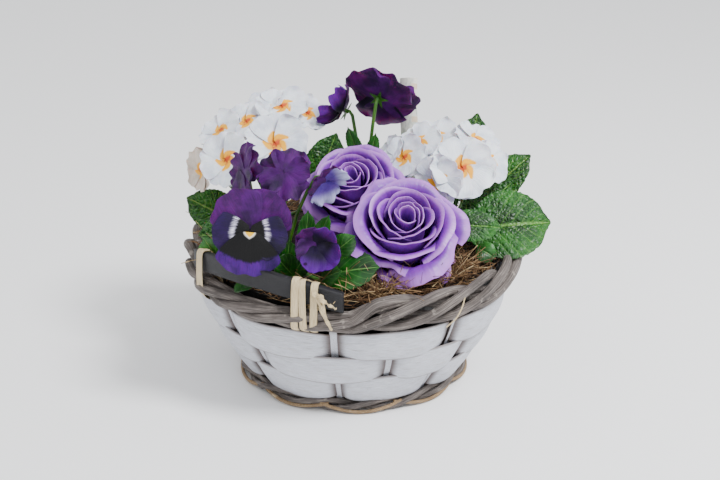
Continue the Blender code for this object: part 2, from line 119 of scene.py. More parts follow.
# --- Making meshes -----------------------------------------------------------------------------------
def sheet(name, across, along, place):
    """A grid of across by along faces whose points (u, v), each 0 to 1, are carried to place(u, v)."""
    bpy.ops.object.select_all(action="DESELECT")
    bpy.ops.mesh.primitive_grid_add(x_subdivisions=across, y_subdivisions=along, size=1.0, calc_uvs=True)
    made = bpy.context.object
    made.name = made.data.name = name
    for vert in made.data.vertices:
        vert.co = place(vert.co.x + 0.5, vert.co.y + 0.5)
    return made


def modify(obj, kind, **settings):
    """Add a modifier and apply it at once."""
    bpy.ops.object.select_all(action="DESELECT")
    obj.select_set(True)
    bpy.context.view_layer.objects.active = obj
    modifier = obj.modifiers.new(kind.lower(), kind)
    for key, value in settings.items():
        setattr(modifier, key, value)
    bpy.ops.object.modifier_apply(modifier=modifier.name)
    return obj


def thicken(obj, thickness, offset=0.0):
    return modify(obj, "SOLIDIFY", thickness=thickness, offset=offset, use_even_offset=False)


def weld(obj, outward=True):
    """Close the seams of a sheet and turn its faces outwards."""
    bm = bmesh.new()
    bm.from_mesh(obj.data)
    bmesh.ops.remove_doubles(bm, verts=bm.verts, dist=0.00001)
    if outward:
        bmesh.ops.recalc_face_normals(bm, faces=bm.faces)
    bm.to_mesh(obj.data)
    bm.free()
    return obj


def smooth(obj, angle=60.0):
    obj.data.shade_smooth()
    obj.data.set_sharp_from_angle(angle=math.radians(angle))
    return obj


def joined(name, objects):
    """Join objects into one, with its place in its mesh."""
    bpy.ops.object.select_all(action="DESELECT")
    for obj in objects:
        obj.data.transform(obj.matrix_world)
        obj.matrix_world = Matrix.Identity(4)
        obj.select_set(True)
    bpy.context.view_layer.objects.active = objects[0]
    if len(objects) > 1:
        bpy.ops.object.join()
    made = bpy.context.view_layer.objects.active
    made.name = made.data.name = name
    return made


def settle(obj, slot, material, *nodes):
    """Give a finished piece its material and its place in the frame, and hide the CAD nodes that it stands
    for.
    """
    if material is not None:
        obj.data.materials.clear()
        obj.data.materials.append(material)
    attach(obj, "root")
    if nodes:
        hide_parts(*nodes)
    return obj


def sweep(name, points, width, thickness=None, sides=10, closed=False, outward=None):
    """A tube or ribbon along points. The width is a radius, or a function of the share of the length.
    outward(i) gives the direction that the ribbon's flat side faces at a point."""
    points = [Vector(point) for point in points]
    count = len(points)
    width_at = width if callable(width) else lambda share: width
    thick_at = width_at if thickness is None else lambda share: thickness
    tangents = []
    for i in range(count):
        before = points[(i - 1) % count] if closed or i else points[0]
        after = points[(i + 1) % count] if closed or i < count - 1 else points[-1]
        tangents.append((after - before).normalized())
    facing = outward(0) if outward else tangents[0].orthogonal().normalized()
    facings = []
    for i, tangent in enumerate(tangents):
        facing = outward(i) if outward else facing
        facing = (facing - tangent * facing.dot(tangent)).normalized()
        facings.append(facing)
    rows = count if closed else count - 1

    def place(u, v):
        i = round(v * rows)
        j = i % count
        share = i / rows
        taper = 1.0
        if not closed and i in (0, rows):
            taper = 0.0
        angle = 2 * math.pi * u
        side = tangents[j].cross(facings[j])
        across = side * math.cos(angle) * width_at(share)
        return points[j] + taper * (across + facings[j] * math.sin(angle) * thick_at(share))

    return smooth(weld(sheet(name, sides, rows, place)))


def doubled_ends(points):
    """Repeat both end points a hair outwards, so that a swept tube closes with flat ends."""
    first = points[0] + (points[0] - points[1]).normalized() * 0.00005
    last = points[-1] + (points[-1] - points[-2]).normalized() * 0.00005
    return [first, *points, last]


# --- Making materials --------------------------------------------------------------------------------
SCREEN_CURVE = 2.7  # a little steeper than a screen's own, because the studio light is strong


def srgb(red, green, blue):
    """A screen colour, 0 to 255 a channel, as the linear colour that a shader takes."""
    return tuple((channel / 255.0) ** SCREEN_CURVE for channel in (red, green, blue)) + (1.0,)


class Finish:
    """A procedural material under construction."""

    def __init__(self, name, roughness=0.6, **shader_values):
        self.material = bpy.data.materials.new(name)
        self.material.use_nodes = True
        self.tree = self.material.node_tree
        self.shader = self.tree.nodes["Principled BSDF"]
        self.shader.inputs["Roughness"].default_value = roughness
        for key, value in shader_values.items():
            self.shader.inputs[key.replace("_", " ")].default_value = value
        places = self.tree.nodes.new("ShaderNodeTexCoord")
        self.place = places.outputs["Object"]
        self.uv = places.outputs["UV"]
        self.u, self.v, _ = self.add("ShaderNodeSeparateXYZ", {"Vector": self.uv}).outputs

    def put(self, socket, value):
        """Link a socket's value, or set it where it is a plain one."""
        if isinstance(value, bpy.types.NodeSocket):
            self.tree.links.new(value, socket)
        else:
            socket.default_value = value

    def add(self, kind, values, **settings):
        made = self.tree.nodes.new(kind)
        for key, value in settings.items():
            setattr(made, key, value)
        for key, value in values.items():
            self.put(made.inputs[key], value)
        return made

    def noise(self, source, scale, detail=4.0, roughness=0.55):
        values = {"Vector": source, "Scale": scale, "Detail": detail, "Roughness": roughness}
        return self.add("ShaderNodeTexNoise", values).outputs["Fac"]

    def streaks(self, stretch, scale, detail, roughness=0.55, source=None):
        """Noise drawn out by the stretch given, on the piece's own UV map if no other source is given."""
        values = {"Vector": source or self.uv, "Scale": stretch}
        drawn = self.add("ShaderNodeMapping", values).outputs["Vector"]
        return self.noise(drawn, scale, detail, roughness)

    def ramp(self, factor, *stops):
        """A colour ramp over (position, colour) stops."""
        made = self.add("ShaderNodeValToRGB", {"Fac": factor})
        band = made.color_ramp
        while len(band.elements) < len(stops):
            band.elements.new(0.5)
        for element, (position, colour) in zip(band.elements, stops):
            element.position = position
            element.color = srgb(*colour)
        return made.outputs["Color"]

    def mask(self, factor, low, high):
        """0 below low, 1 above high and smooth between; low above high turns it round."""
        values = {"Value": factor, "From Min": low, "From Max": high}
        made = self.add("ShaderNodeMapRange", values, interpolation_type="SMOOTHSTEP", clamp=True)
        return made.outputs["Result"]

    def maths(self, operation, first, second=0.5):
        return self.add("ShaderNodeMath", {0: first, 1: second}, operation=operation).outputs[0]

    def plus(self, first, second, share):
        """first with that share of second added."""
        return self.maths("ADD", first, self.maths("MULTIPLY", second, share))

    def aside(self):
        """How far a point is from the middle line of its piece, across it."""
        return self.maths("ABSOLUTE", self.maths("SUBTRACT", self.u))

    def ribs(self, count, lean):
        """A wave that is 0 along each of count side veins, which lean towards the tip."""
        slant = self.maths("SUBTRACT", self.v, self.maths("MULTIPLY", self.aside(), lean))
        return self.maths("PINGPONG", self.maths("MULTIPLY", slant, count))

    def over(self, tone, colour, mask, strength=None):
        """The tone with a colour laid over it where the mask is 1, at that strength."""
        share = mask if strength is None else self.maths("MULTIPLY", mask, strength)
        made = self.add("ShaderNodeMix", {}, data_type="RGBA")
        colour = srgb(*colour) if isinstance(colour, tuple) else colour
        tone = srgb(*tone) if isinstance(tone, tuple) else tone
        for number, value in ((0, share), (6, tone), (7, colour)):
            self.put(made.inputs[number], value)
        return made.outputs[2]

    def wear(self, colour, *reliefs, rough=None):
        """Set the colour, the reliefs as (height, metres) and the roughness as (factor, low, high)."""
        self.put(self.shader.inputs["Base Color"], colour)
        if rough:
            values = dict(zip(("Value", "To Min", "To Max"), rough))
            spread = self.add("ShaderNodeMapRange", values)
            self.put(self.shader.inputs["Roughness"], spread.outputs["Result"])
        for height, depth in reliefs:
            values = {"Height": height, "Distance": depth, "Strength": 1.0}
            below = self.shader.inputs["Normal"]
            if below.is_linked:
                values["Normal"] = below.links[0].from_socket
            self.put(below, self.add("ShaderNodeBump", values).outputs["Normal"])
        return self.material


def whitewashed_splint():
    """Thin poplar splints under a chalky wash: fine grain along them, brown at their tucked-in ends."""
    finish = Finish("whitewashed splint", roughness=0.7)
    grain = finish.streaks((3.0, 34.0, 1.0), 3.0, 6.0, 0.6)
    broad = finish.streaks((2.0, 5.0, 1.0), 2.5, 3.0)
    wash = finish.ramp(grain, (0.30, (176, 176, 182)), (0.50, (212, 214, 222)), (0.75, (236, 238, 244)))
    wash = finish.over(wash, (188, 180, 172), finish.mask(broad, 0.52, 0.75), 0.45)
    ends = finish.mask(finish.plus(finish.aside(), grain, 0.07), 0.450, 0.53)
    wash = finish.over(wash, (96, 74, 60), ends, 0.85)
    up_down = finish.maths("ABSOLUTE", finish.maths("SUBTRACT", finish.v))
    edges = finish.mask(finish.plus(up_down, grain, 0.08), 0.465, 0.54)
    wash = finish.over(wash, (120, 104, 92), edges, 0.70)
    specks = finish.mask(finish.noise(finish.place, 520.0, 2.0), 0.70, 0.76)
    patches = finish.mask(finish.noise(finish.place, 34.0, 1.0), 0.60, 0.72)
    wash = finish.over(wash, (96, 92, 92), specks, patches)
    return finish.wear(wash, (grain, 0.0006), (broad, 0.0012), rough=(grain, 0.55, 0.85))


def weathered_willow(name, dark, middle, light):
    """Peeled rods gone grey: long streaks along each rod, with cracks and pale scuffs."""
    finish = Finish(name, roughness=0.75)
    streaks = finish.streaks((7.0, 9.0, 1.0), 4.0, 6.0, 0.65)
    blotches = finish.noise(finish.place, 42.0, 4.0)
    tone = finish.ramp(streaks, (0.30, dark), (0.50, middle), (0.72, light))
    tone = finish.over(tone, finish.over(tone, dark, 0.5), finish.mask(blotches, 0.45, 0.70))
    scuffs = finish.mask(finish.noise(finish.place, 130.0, 3.0), 0.62, 0.72)
    tone = finish.over(tone, light, scuffs, 0.6)
    return finish.wear(tone, (streaks, 0.0009), (blotches, 0.0008), rough=(streaks, 0.6, 0.9))


def stained_bar():
    """Dark paint on a bent bar, brushed along it and rubbed pale in streaks."""
    finish = Finish("stained bar", roughness=0.5)
    brushed = finish.streaks((4.0, 26.0, 1.0), 3.0, 6.0, 0.65)
    rubbed = finish.mask(finish.streaks((9.0, 30.0, 1.0), 5.0, 3.0), 0.60, 0.74)
    tone = finish.ramp(brushed, (0.25, (12, 11, 15)), (0.55, (28, 27, 34)), (0.85, (54, 54, 66)))
    tone = finish.over(tone, (128, 126, 134), rubbed, 0.55)
    return finish.wear(tone, (brushed, 0.0005), rough=(brushed, 0.40, 0.72))


def raffia():
    """Dry palm strip: cream, with fibres along it."""
    finish = Finish("raffia", roughness=0.6)
    fibres = finish.streaks((30.0, 4.0, 1.0), 3.0, 5.0)
    tone = finish.ramp(fibres, (0.28, (168, 140, 100)), (0.50, (222, 203, 164)), (0.75, (243, 232, 204)))
    return finish.wear(tone, (fibres, 0.0005))


def potting_soil():
    finish = Finish("potting soil", roughness=0.95)
    crumbs = finish.noise(finish.place, 260.0, 8.0, 0.7)
    tone = finish.ramp(crumbs, (0.35, (20, 14, 11)), (0.55, (50, 37, 28)), (0.75, (96, 76, 58)))
    return finish.wear(tone, (crumbs, 0.003))


def dry_fibre():
    """Coir and dry moss: each strand its own brown, from nearly black to straw."""
    finish = Finish("dry fibre", roughness=0.85)
    browns = ((0.0, (66, 46, 32)), (0.45, (122, 92, 62)), (0.80, (172, 142, 104)), (1.0, (214, 192, 152)))
    tone = finish.ramp(finish.u, *browns)
    mottled = finish.mask(finish.noise(finish.place, 300.0, 3.0), 0.35, 0.75)
    return finish.wear(finish.over(tone, finish.over(tone, (90, 66, 44), 0.6), mottled))


def black_foil():
    finish = Finish("black foil", roughness=0.4)
    creases = finish.noise(finish.place, 60.0, 4.0)
    return finish.wear(finish.ramp(creases, (0.3, (14, 14, 15)), (0.8, (36, 36, 38))), (creases, 0.002))


def crinkled_leaf():
    """Primula leaf: bright green between a net of paler sunken veins."""
    finish = Finish("primula leaf", roughness=0.42, Subsurface_Weight=0.05)
    cells = {"Vector": finish.place, "Scale": 330.0}
    net = finish.add("ShaderNodeTexVoronoi", cells, feature="DISTANCE_TO_EDGE")
    net = net.outputs["Distance"]
    clouds = finish.noise(finish.place, 60.0, 4.0)
    green = finish.ramp(clouds, (0.30, (12, 52, 14)), (0.52, (26, 86, 24)), (0.75, (54, 122, 38)))
    green = finish.over(green, (86, 144, 60), finish.mask(net, 0.13, 0.0), 0.20)
    green = finish.over(green, (100, 158, 72), finish.mask(finish.ribs(8.0, 0.75), 0.13, 0.0), 0.40)
    green = finish.over(green, (128, 178, 92), finish.mask(finish.aside(), 0.035, 0.0), 0.7)
    return finish.wear(green, (net, 0.0016), (clouds, 0.001), rough=(clouds, 0.34, 0.55))


def smooth_leaf():
    """Pansy leaf: even mid green with faint veins."""
    finish = Finish("pansy leaf", roughness=0.4, Subsurface_Weight=0.05)
    clouds = finish.noise(finish.place, 70.0, 3.0)
    green = finish.ramp(clouds, (0.30, (12, 54, 16)), (0.52, (28, 92, 28)), (0.78, (58, 130, 44)))
    veins = finish.maths("MULTIPLY", finish.mask(finish.ribs(5.0, 1.1), 0.06, 0.0), 0.35)
    midrib = finish.maths("MULTIPLY", finish.mask(finish.aside(), 0.03, 0.0), 0.7)
    green = finish.over(green, (126, 176, 98), finish.maths("MAXIMUM", veins, midrib))
    return finish.wear(green, (clouds, 0.0008), rough=(clouds, 0.32, 0.5))


def green_stalk():
    finish = Finish("green stalk", roughness=0.5, Subsurface_Weight=0.05)
    streaks = finish.streaks((160.0, 160.0, 22.0), 1.0, 3.0, source=finish.place)
    tone = finish.ramp(streaks, (0.3, (34, 76, 18)), (0.55, (66, 120, 36)), (0.8, (118, 162, 66)))
    return finish.wear(tone, (streaks, 0.0004))


def primula_petal(name, white, shade):
    """White petal with faint veins, and the orange eye as a star at its root."""
    finish = Finish(name, roughness=0.55, Subsurface_Weight=0.12, Subsurface_Scale=0.004)
    veins = finish.streaks((26.0, 1.6, 1.0), 1.6, 4.0)
    tone = finish.over(white, shade, finish.mask(finish.noise(finish.place, 90.0, 3.0), 0.35, 0.75))
    tone = finish.over(tone, shade, finish.mask(veins, 0.55, 0.70), 0.22)
    reach = finish.plus(finish.plus(finish.v, finish.aside(), 0.75), veins, 0.07)
    tone = finish.over(tone, (255, 186, 10), finish.mask(reach, 0.50, 0.43))
    tone = finish.over(tone, (214, 92, 0), finish.mask(reach, 0.34, 0.16))
    return finish.wear(tone, (veins, 0.0005))


def pansy_petal(name, body, deep, blotch=0.0, whiskers=False, eye=False, pale_tip=None):
    """Velvet petal: a black blotch from its root, feathered white round it, and a yellow eye below."""
    finish = Finish(name, roughness=0.6, Sheen_Weight=0.05, Sheen_Roughness=0.4, Subsurface_Weight=0.04,
                    Specular_IOR_Level=0.25)
    veins = finish.streaks((30.0, 1.2, 1.0), 1.6, 4.0)
    tone = finish.over(body, deep, finish.mask(finish.noise(finish.place, 75.0, 4.0), 0.30, 0.70))
    tone = finish.over(tone, deep, finish.mask(veins, 0.52, 0.66), 0.45)
    if pale_tip:
        tone = finish.over(tone, pale_tip, finish.mask(finish.plus(finish.v, veins, 0.3), 0.5, 1.1))
    if blotch:
        ragged = finish.plus(finish.plus(finish.v, finish.aside(), 0.35), veins, 0.16)
        if whiskers:
            hairs = finish.mask(finish.streaks((60.0, 1.0, 1.0), 1.0, 2.0), 0.42, 0.52)
            edge = finish.mask(ragged, blotch + 0.26, blotch + 0.12)
            tone = finish.over(tone, (226, 222, 240), edge, hairs)
        tone = finish.over(tone, (9, 4, 14), finish.mask(ragged, blotch + 0.12, blotch + 0.04))
    if eye:
        near = finish.plus(finish.v, finish.aside(), 0.45)
        tone = finish.over(tone, (238, 232, 224), finish.mask(near, 0.17, 0.12))
        tone = finish.over(tone, (250, 200, 30), finish.mask(near, 0.13, 0.09))
    return finish.wear(tone, (veins, 0.0005))


def rose_petal():
    """Lilac petal: soft and even, with a painted highlight where it rolls over at its lip and painted shade
    towards its root.
    """
    finish = Finish("rose petal", roughness=0.42, Subsurface_Weight=0.10, Subsurface_Scale=0.004)
    clouds = finish.noise(finish.place, 55.0, 4.0)
    veins = finish.streaks((18.0, 1.5, 1.0), 1.6, 3.0)
    tone = finish.over((148, 78, 190), (118, 52, 160), finish.mask(clouds, 0.30, 0.72))
    # painted shade: darker towards each petal's root, deep inside the rose
    tone = finish.over(tone, (74, 22, 124), finish.mask(finish.v, 0.50, 0.0))
    # painted highlight: paler where each petal's lip rolls over
    tone = finish.over(tone, (196, 142, 218), finish.mask(finish.v, 0.91, 0.985), 0.70)
    return finish.wear(tone, (veins, 0.0006), (clouds, 0.0012), rough=(clouds, 0.34, 0.52))


def label_card():
    """Glossy card: pale ground, soft pastel bands and plain blocks."""
    finish = Finish("label card", roughness=0.3)
    clouds = finish.mask(finish.streaks((3.0, 9.0, 1.0), 2.0, 2.0), 0.45, 0.65)
    tone = finish.over((236, 234, 226), (210, 214, 206), clouds)
    stripes = finish.mask(finish.maths("PINGPONG", finish.maths("MULTIPLY", finish.v, 9.0)), 0.30, 0.36)
    stripes = finish.maths("MULTIPLY", stripes, finish.mask(finish.u, 0.62, 0.66))
    tone = finish.over(tone, (226, 196, 160), stripes, 0.6)
    return finish.wear(finish.over(tone, (206, 214, 196), finish.mask(finish.v, 0.66, 0.62), 0.8))


FINISHES = {
    "splint": whitewashed_splint(),
    "willow": weathered_willow("weathered willow", (58, 52, 50), (116, 108, 104), (176, 168, 160)),
    "pale_willow": weathered_willow("peeled willow", (112, 88, 62), (168, 142, 110), (214, 196, 164)),
    "bar": stained_bar(),
    "raffia": raffia(),
    "soil": potting_soil(),
    "fibre": dry_fibre(),
    "foil": black_foil(),
    "primula_leaf": crinkled_leaf(),
    "pansy_leaf": smooth_leaf(),
    "stalk": green_stalk(),
    "primula": primula_petal("primula petal", (240, 241, 246), (206, 210, 222)),
    # a beige copy of the white petal: painted shade for the blossom that hangs on the shaded left side
    "primula_painted_shade": primula_petal("primula petal in painted shade", (222, 210, 200), (190, 176, 162)),
    "pansy_upper": pansy_petal("pansy upper petal", (92, 2, 116), (46, 0, 64)),
    "pansy_side": pansy_petal("pansy side petal", (50, 2, 84), (24, 0, 46), 0.42, True),
    "pansy_lower": pansy_petal("pansy lower petal", (84, 4, 130), (46, 0, 80), 0.70, eye=True),
    "pansy_back": pansy_petal("pansy reverse", (96, 4, 118), (46, 0, 66)),
    "pansy_dark": pansy_petal("pansy dark petal", (40, 2, 66), (14, 0, 26), pale_tip=(96, 20, 140)),
    "pansy_pale": pansy_petal("pansy pale reverse", (120, 90, 180), (70, 40, 130), pale_tip=(196, 196, 232)),
    "rose": rose_petal(),
    "label": label_card(),
}


# --- Basket ------------------------------------------------------------------------------------------
def seam_bearing(row, number):
    """Where a band's splint number begins, behind a stake."""
    shift = SEAM_SHIFTS.get((row, number % CHIPS_PER_BAND), 0.0)
    return SEAM_BEARINGS[row] + 360.0 / CHIPS_PER_BAND * number + shift


def chip(row, number, rng):
    """One wide splint between two stakes: it bows out in its middle and tucks in at both ends."""
    low, high = BANDS[row][0][2], BANDS[row][1][2]
    middle, half = (low + high) / 2, (high - low) / 2 + 0.0009
    left, right = seam_bearing(row, number), seam_bearing(row, number + 1)
    if right < left:
        right += 360.0
    gap = 0.9 + rng.random() * 0.5
    bow = 0.0042 + rng.uniform(-0.0006, 0.0009)
    tilt, wander = rng.uniform(-0.0007, 0.0007), rng.uniform(0.0, 50.0)

    def place(u, v):
        bearing = left + gap + (right - left - 2 * gap) * u
        ends = abs(2 * u - 1)
        side = 2 * v - 1
        height = half * (1.10 - 0.24 * ends ** 3.2)
        z = middle - 0.0006 + side * height + tilt * (2 * u - 1) + 0.0009 * rough((u * 3, side, wander), 1.0)
        lift = -0.0004 + bow * (1.0 - ends ** 3.4) + 0.0012 * (1 - side * side) * (1 - ends ** 4)
        lift += 0.0016 * (1 - v) * (1 - ends ** 6) + 0.0007 * rough((u * 4, v, wander + 9), 1.0)
        return around(bearing, wall_radius(z) + lift + 0.0010, z)

    made = sheet(f"chip_{row}_{number}", 30, 8, place)
    thicken(made, SPLINT_THICKNESS, -1.0)
    modify(made, "BEVEL", width=0.0003, segments=2, limit_method="ANGLE", angle_limit=math.radians(50.0))
    return made


def wall_bands():
    rng = random.Random(4)
    for row in range(3):
        chips = [chip(row, number, rng) for number in range(CHIPS_PER_BAND)]
        band = smooth(joined(f"splint_band_{row + 1}", chips), 50.0)
        settle(band, "white_splint", FINISHES["splint"], f"wall_band_{row + 1}")


def base_and_stakes():
    """The flat base board and the narrow stakes that stand up from it."""
    pieces = []
    bpy.ops.object.select_all(action="DESELECT")
    bpy.ops.mesh.primitive_cylinder_add(vertices=96, radius=BASE_RADIUS, depth=BASE_THICKNESS,
                                        location=(0, 0, BASE_THICKNESS / 2))
    board = bpy.context.object
    modify(board, "BEVEL", width=0.0003, segments=2, limit_method="ANGLE")
    pieces.append(board)
    for number in range(STAKE_COUNT):
        bearing = SEAM_BEARINGS[0] + 360.0 / STAKE_COUNT * number - (ODD_STAKE_LAG if number % 2 else 0.0)
        row = 1 if number % 2 else 0
        bearing += SEAM_SHIFTS.get((row, number // 2), 0.0)

        def place(u, v):
            z = 0.0004 + 0.0750 * v
            side = (u - 0.5) * STAKE_WIDTH
            radius = wall_radius(z) - 0.0002
            return around(bearing, radius, z) + around(bearing + 90.0, side, 0.0)

        pieces.append(thicken(sheet(f"stake_{number}", 3, 18, place), 0.0010, 0.0))
    folded = smooth(joined("base_board_and_stakes", pieces), 50.0)
    settle(folded, "white_splint", FINISHES["splint"], "base_and_stakes")


def under_handle(bearing):
    """1 below a handle, where the rim dips, and 0 away from it."""
    share = 0.0
    for middle in (HANDLE_BEARING, HANDLE_BEARING + 180.0):
        past = abs(angle_between(bearing, middle)) - HANDLE_HALF_SPAN - 1.5
        share = max(share, 1.0 - smooth_step(past / DIP_BLEND))
    return share


def rim_point(bearing, phase, out=1.0, up=1.0):
    """A point of the twist, with shares of its full swing outwards and upwards."""
    dip = under_handle(bearing)
    height = RIM_HEIGHT + (DIP_HEIGHT - RIM_HEIGHT) * dip
    swing_up = RIM_SWING_UP + (DIP_SWING_UP - RIM_SWING_UP) * dip
    z = height + up * swing_up * math.sin(phase)
    radius = RIM_RADIUS + out * RIM_SWING_OUT * math.cos(phase) + RIM_LEAN * (z - RIM_HEIGHT)
    return around(bearing, radius, z)


def phase_at(start, bearing):
    """A rim rod's phase at a bearing; it lies lowest at one bearing when it starts from 0."""
    lowest_at = math.radians(ROD_LOW_BEARING) * ROD_TURNS + math.pi / 2
    return start - lowest_at + ROD_TURNS * math.radians(bearing)


def rod_thickness(middle, seed):
    """A rod's radius along its length, with long swells and short knots."""
    def at(share):
        swell = noise.noise(Vector((share * 14, seed, 0)))
        knots = noise.noise(Vector((share * 60, seed, 4)))
        return middle * (1.0 + 0.10 * swell + 0.05 * knots)
    return at


def closed_rod(name, points, middle, seed, sides, node):
    """A rod that runs all the way round the basket."""
    rod = sweep(name, points, rod_thickness(middle, seed), sides=sides, closed=True)
    settle(rod, "willow", FINISHES["willow"], node)


# Short rods pushed in between the others: first bearing, last bearing, phase of the twist
SHORT_RODS = ((-4, 74, 0.80), (16, 104, 2.3), (100, 196, 4.0), (176, 262, 0.7), (222, 318, 2.4),
              (-62, 6, 5.2), (36, 92, 5.6))
SHORT_ROD_OUT, SHORT_ROD_UP = 0.45, 0.70
RIM_STEPS, FOOT_STEPS, LACE_COUNT = 288, 200, 10


def rim_rods():
    """The willow rods wound round each other as the rim, with short rods pushed in between."""
    for number in range(4):
        start = 2 * math.pi * number / 4
        points = []
        for i in range(RIM_STEPS):
            bearing = 360.0 * i / RIM_STEPS
            east, north = math.sin(math.radians(bearing)) * 3, math.cos(math.radians(bearing)) * 3
            wobble = Vector([0.0007 * rough((east, north, number * 5 + axis * 11), 1.0) for axis in range(3)])
            points.append(rim_point(bearing, phase_at(start, bearing)) + wobble)
        closed_rod(f"willow_rim_rod_{number + 1}", points, 0.0032, number, 12, f"rim_rod_{number + 1}")
    rng = random.Random(11)
    short = []
    for number, (begin, end, start) in enumerate(SHORT_RODS):
        points = []
        for i in range(60):
            bearing = begin + (end - begin) * i / 59
            phase = phase_at(start + 0.35 * math.sin(i * 0.11 + number), bearing)
            points.append(rim_point(bearing, phase, SHORT_ROD_OUT, SHORT_ROD_UP))
        thickness = rod_thickness(rng.uniform(0.0017, 0.0023), number + 20)
        short.append(sweep(f"short_rod_{number}", doubled_ends(points), thickness))
    settle(joined("willow_rim_filler_rods", short), "willow", FINISHES["willow"])


def foot_rods():
    for number in range(2):
        points = []
        for i in range(FOOT_STEPS):
            bearing = 360.0 * i / FOOT_STEPS
            phase = math.pi * number + FOOT_TURNS * math.radians(bearing)
            radius = FOOT_RADIUS + FOOT_SWING * math.cos(phase)
            points.append(around(bearing, radius, FOOT_HEIGHT + FOOT_SWING * math.sin(phase)))
        closed_rod(f"willow_foot_rod_{number + 1}", points, 0.0022, number + 40, 10, f"foot_rod_{number + 1}")
    arcs = []
    for number in range(LACE_COUNT):
        begin = -52.0 + 360.0 / LACE_COUNT * number
        points = []
        for i in range(25):
            share = i / 24
            bearing = begin + 40.0 * share
            belly = math.sin(math.pi * share)
            points.append(around(bearing, 0.0822 + 0.0024 * belly, 0.0062 - 0.0045 * belly))
        arcs.append(sweep(f"foot_lace_{number}", doubled_ends(points), 0.0012, sides=8))
    settle(joined("peeled_foot_lacing", arcs), "willow", FINISHES["pale_willow"])


def handle_height(offset):
    share = offset / HANDLE_HALF_SPAN
    return HANDLE_TOP_MIDDLE - HANDLE_ARCH * share * share


def handles():
    """A flat bar bent along the rim on each side, with rubbed edges."""
    for side, middle in (("front", HANDLE_BEARING), ("back", HANDLE_BEARING + 180.0)):
        def place(u, v):
            offset = HANDLE_HALF_SPAN * (2 * u - 1)
            z = handle_height(offset) + HANDLE_DEPTH * (v - 0.5)
            swell = 0.0004 * rough((u * 7, v * 2, middle), 1.0)
            return around(middle + offset, HANDLE_RADIUS + swell, z + 0.0003 * rough((u * 9, v, 3.0), 1.0))

        bar = thicken(sheet(f"bent_handle_{side}", 60, 6, place), HANDLE_THICKNESS)
        modify(bar, "BEVEL", width=HANDLE_EDGE, segments=3, limit_method="ANGLE",
               angle_limit=math.radians(50.0))
        settle(smooth(bar, 50.0), "stained_wood", FINISHES["bar"], f"handle_{side}")


# Raffia: bearing and half width of each strip of the two wraps, and bearing, lean and drop of each loose end
WRAPS = {1: ((-62.5, 0.0040), (-60.0, 0.0030)), 2: ((-18.8, 0.0024), (-15.6, 0.0026), (-12.6, 0.0024))}
LOOSE_ENDS = ((-11.5, 5.0, 0.026), (-10.0, 2.0, 0.020), (-12.5, 7.5, 0.011))


def wrapped_strip(name, bearing, slant, half_width, turn):
    """One strip round the bar and the rim rods, as (radius, height) points that close on themselves."""
    top = handle_height(bearing - HANDLE_BEARING) + HANDLE_DEPTH / 2
    loop = ((0.1120, top + 0.0007), (0.1180, top + 0.0007), (0.1192, top - 0.007), (0.1196, 0.088),
            (0.1186, 0.079), (0.1130, 0.0752), (0.1062, 0.078), (0.1050, 0.088), (0.1108, top - 0.006))
    points = []
    for i in range(len(loop) + 1):
        radius, z = loop[i % len(loop)]
        points.append(around(turn + bearing + slant * (i / len(loop) - 0.5), radius, z))
    path = curve_through(points, 6)
    heart = around(turn + bearing, RIM_RADIUS, 0.0915)
    return sweep(name, path, half_width, 0.00025, outward=lambda i: (path[i] - heart).normalized())


def loose_end(name, bearing, lean, drop, turn):
    """A strip's free end, which hangs in front of the rim and thins towards its tip."""
    z = handle_height(bearing - HANDLE_BEARING) + 0.004
    points = []
    for share in (0.0, 0.3, 0.6, 0.8, 1.0):
        height = z - drop * share + 0.002 * share * (1 - share)
        points.append(around(turn + bearing + lean * share, 0.1200 + 0.0030 * math.sin(3 * share), height))
    path = curve_through(points, 5)

    def outward(i):
        return Vector((path[i].x, path[i].y, 0.2 * math.sin(i))).normalized()

    return sweep(name, path, lambda share: 0.0019 * (1 - 0.5 * share), 0.0002, 8, outward=outward)


def ties():
    """Flat raffia strips wound round the bar and the rods below it, with loose ends on the right-hand one."""
    for side, turn in (("front", 0.0), ("back", 180.0)):
        for number, bands in WRAPS.items():
            strips = []
            for index, (bearing, half_width) in enumerate(bands):
                slant = 1.6 if index % 2 else -1.6
                name = f"strip_{side}_{number}_{index}"
                strips.append(wrapped_strip(name, bearing, slant, half_width, turn))
            if number == 2:
                for end, place in enumerate(LOOSE_ENDS):
                    strips.append(loose_end(f"loose_{side}_{end}", *place, turn))
            wrap = joined(f"raffia_wrap_{side}_{number}", strips)
            settle(wrap, "raffia", FINISHES["raffia"], f"raffia_tie_{side}_{number}")


# --- Soil and moss -----------------------------------------------------------------------------------
def soil_surface():
    def place(u, v):
        bearing, radius = 360.0 * u, SOIL_RADIUS * v
        x, y, _ = around(bearing, radius, 0.0)
        lumps = 0.0028 * rough((x, y, 0), 0.010) + 0.0013 * rough((x, y, 5), 0.0035)
        return Vector((x, y, SOIL_TOP - 0.0010 + lumps - 0.004 * v ** 6))

    soil = weld(sheet("potting_soil", 160, 60, place), outward=False)
    thicken(soil, 0.004, -1.0)
    settle(smooth(weld(soil)), "soil", FINISHES["soil"], "soil")


THIRDS = (0.0, 2.094, 4.189)  # radians


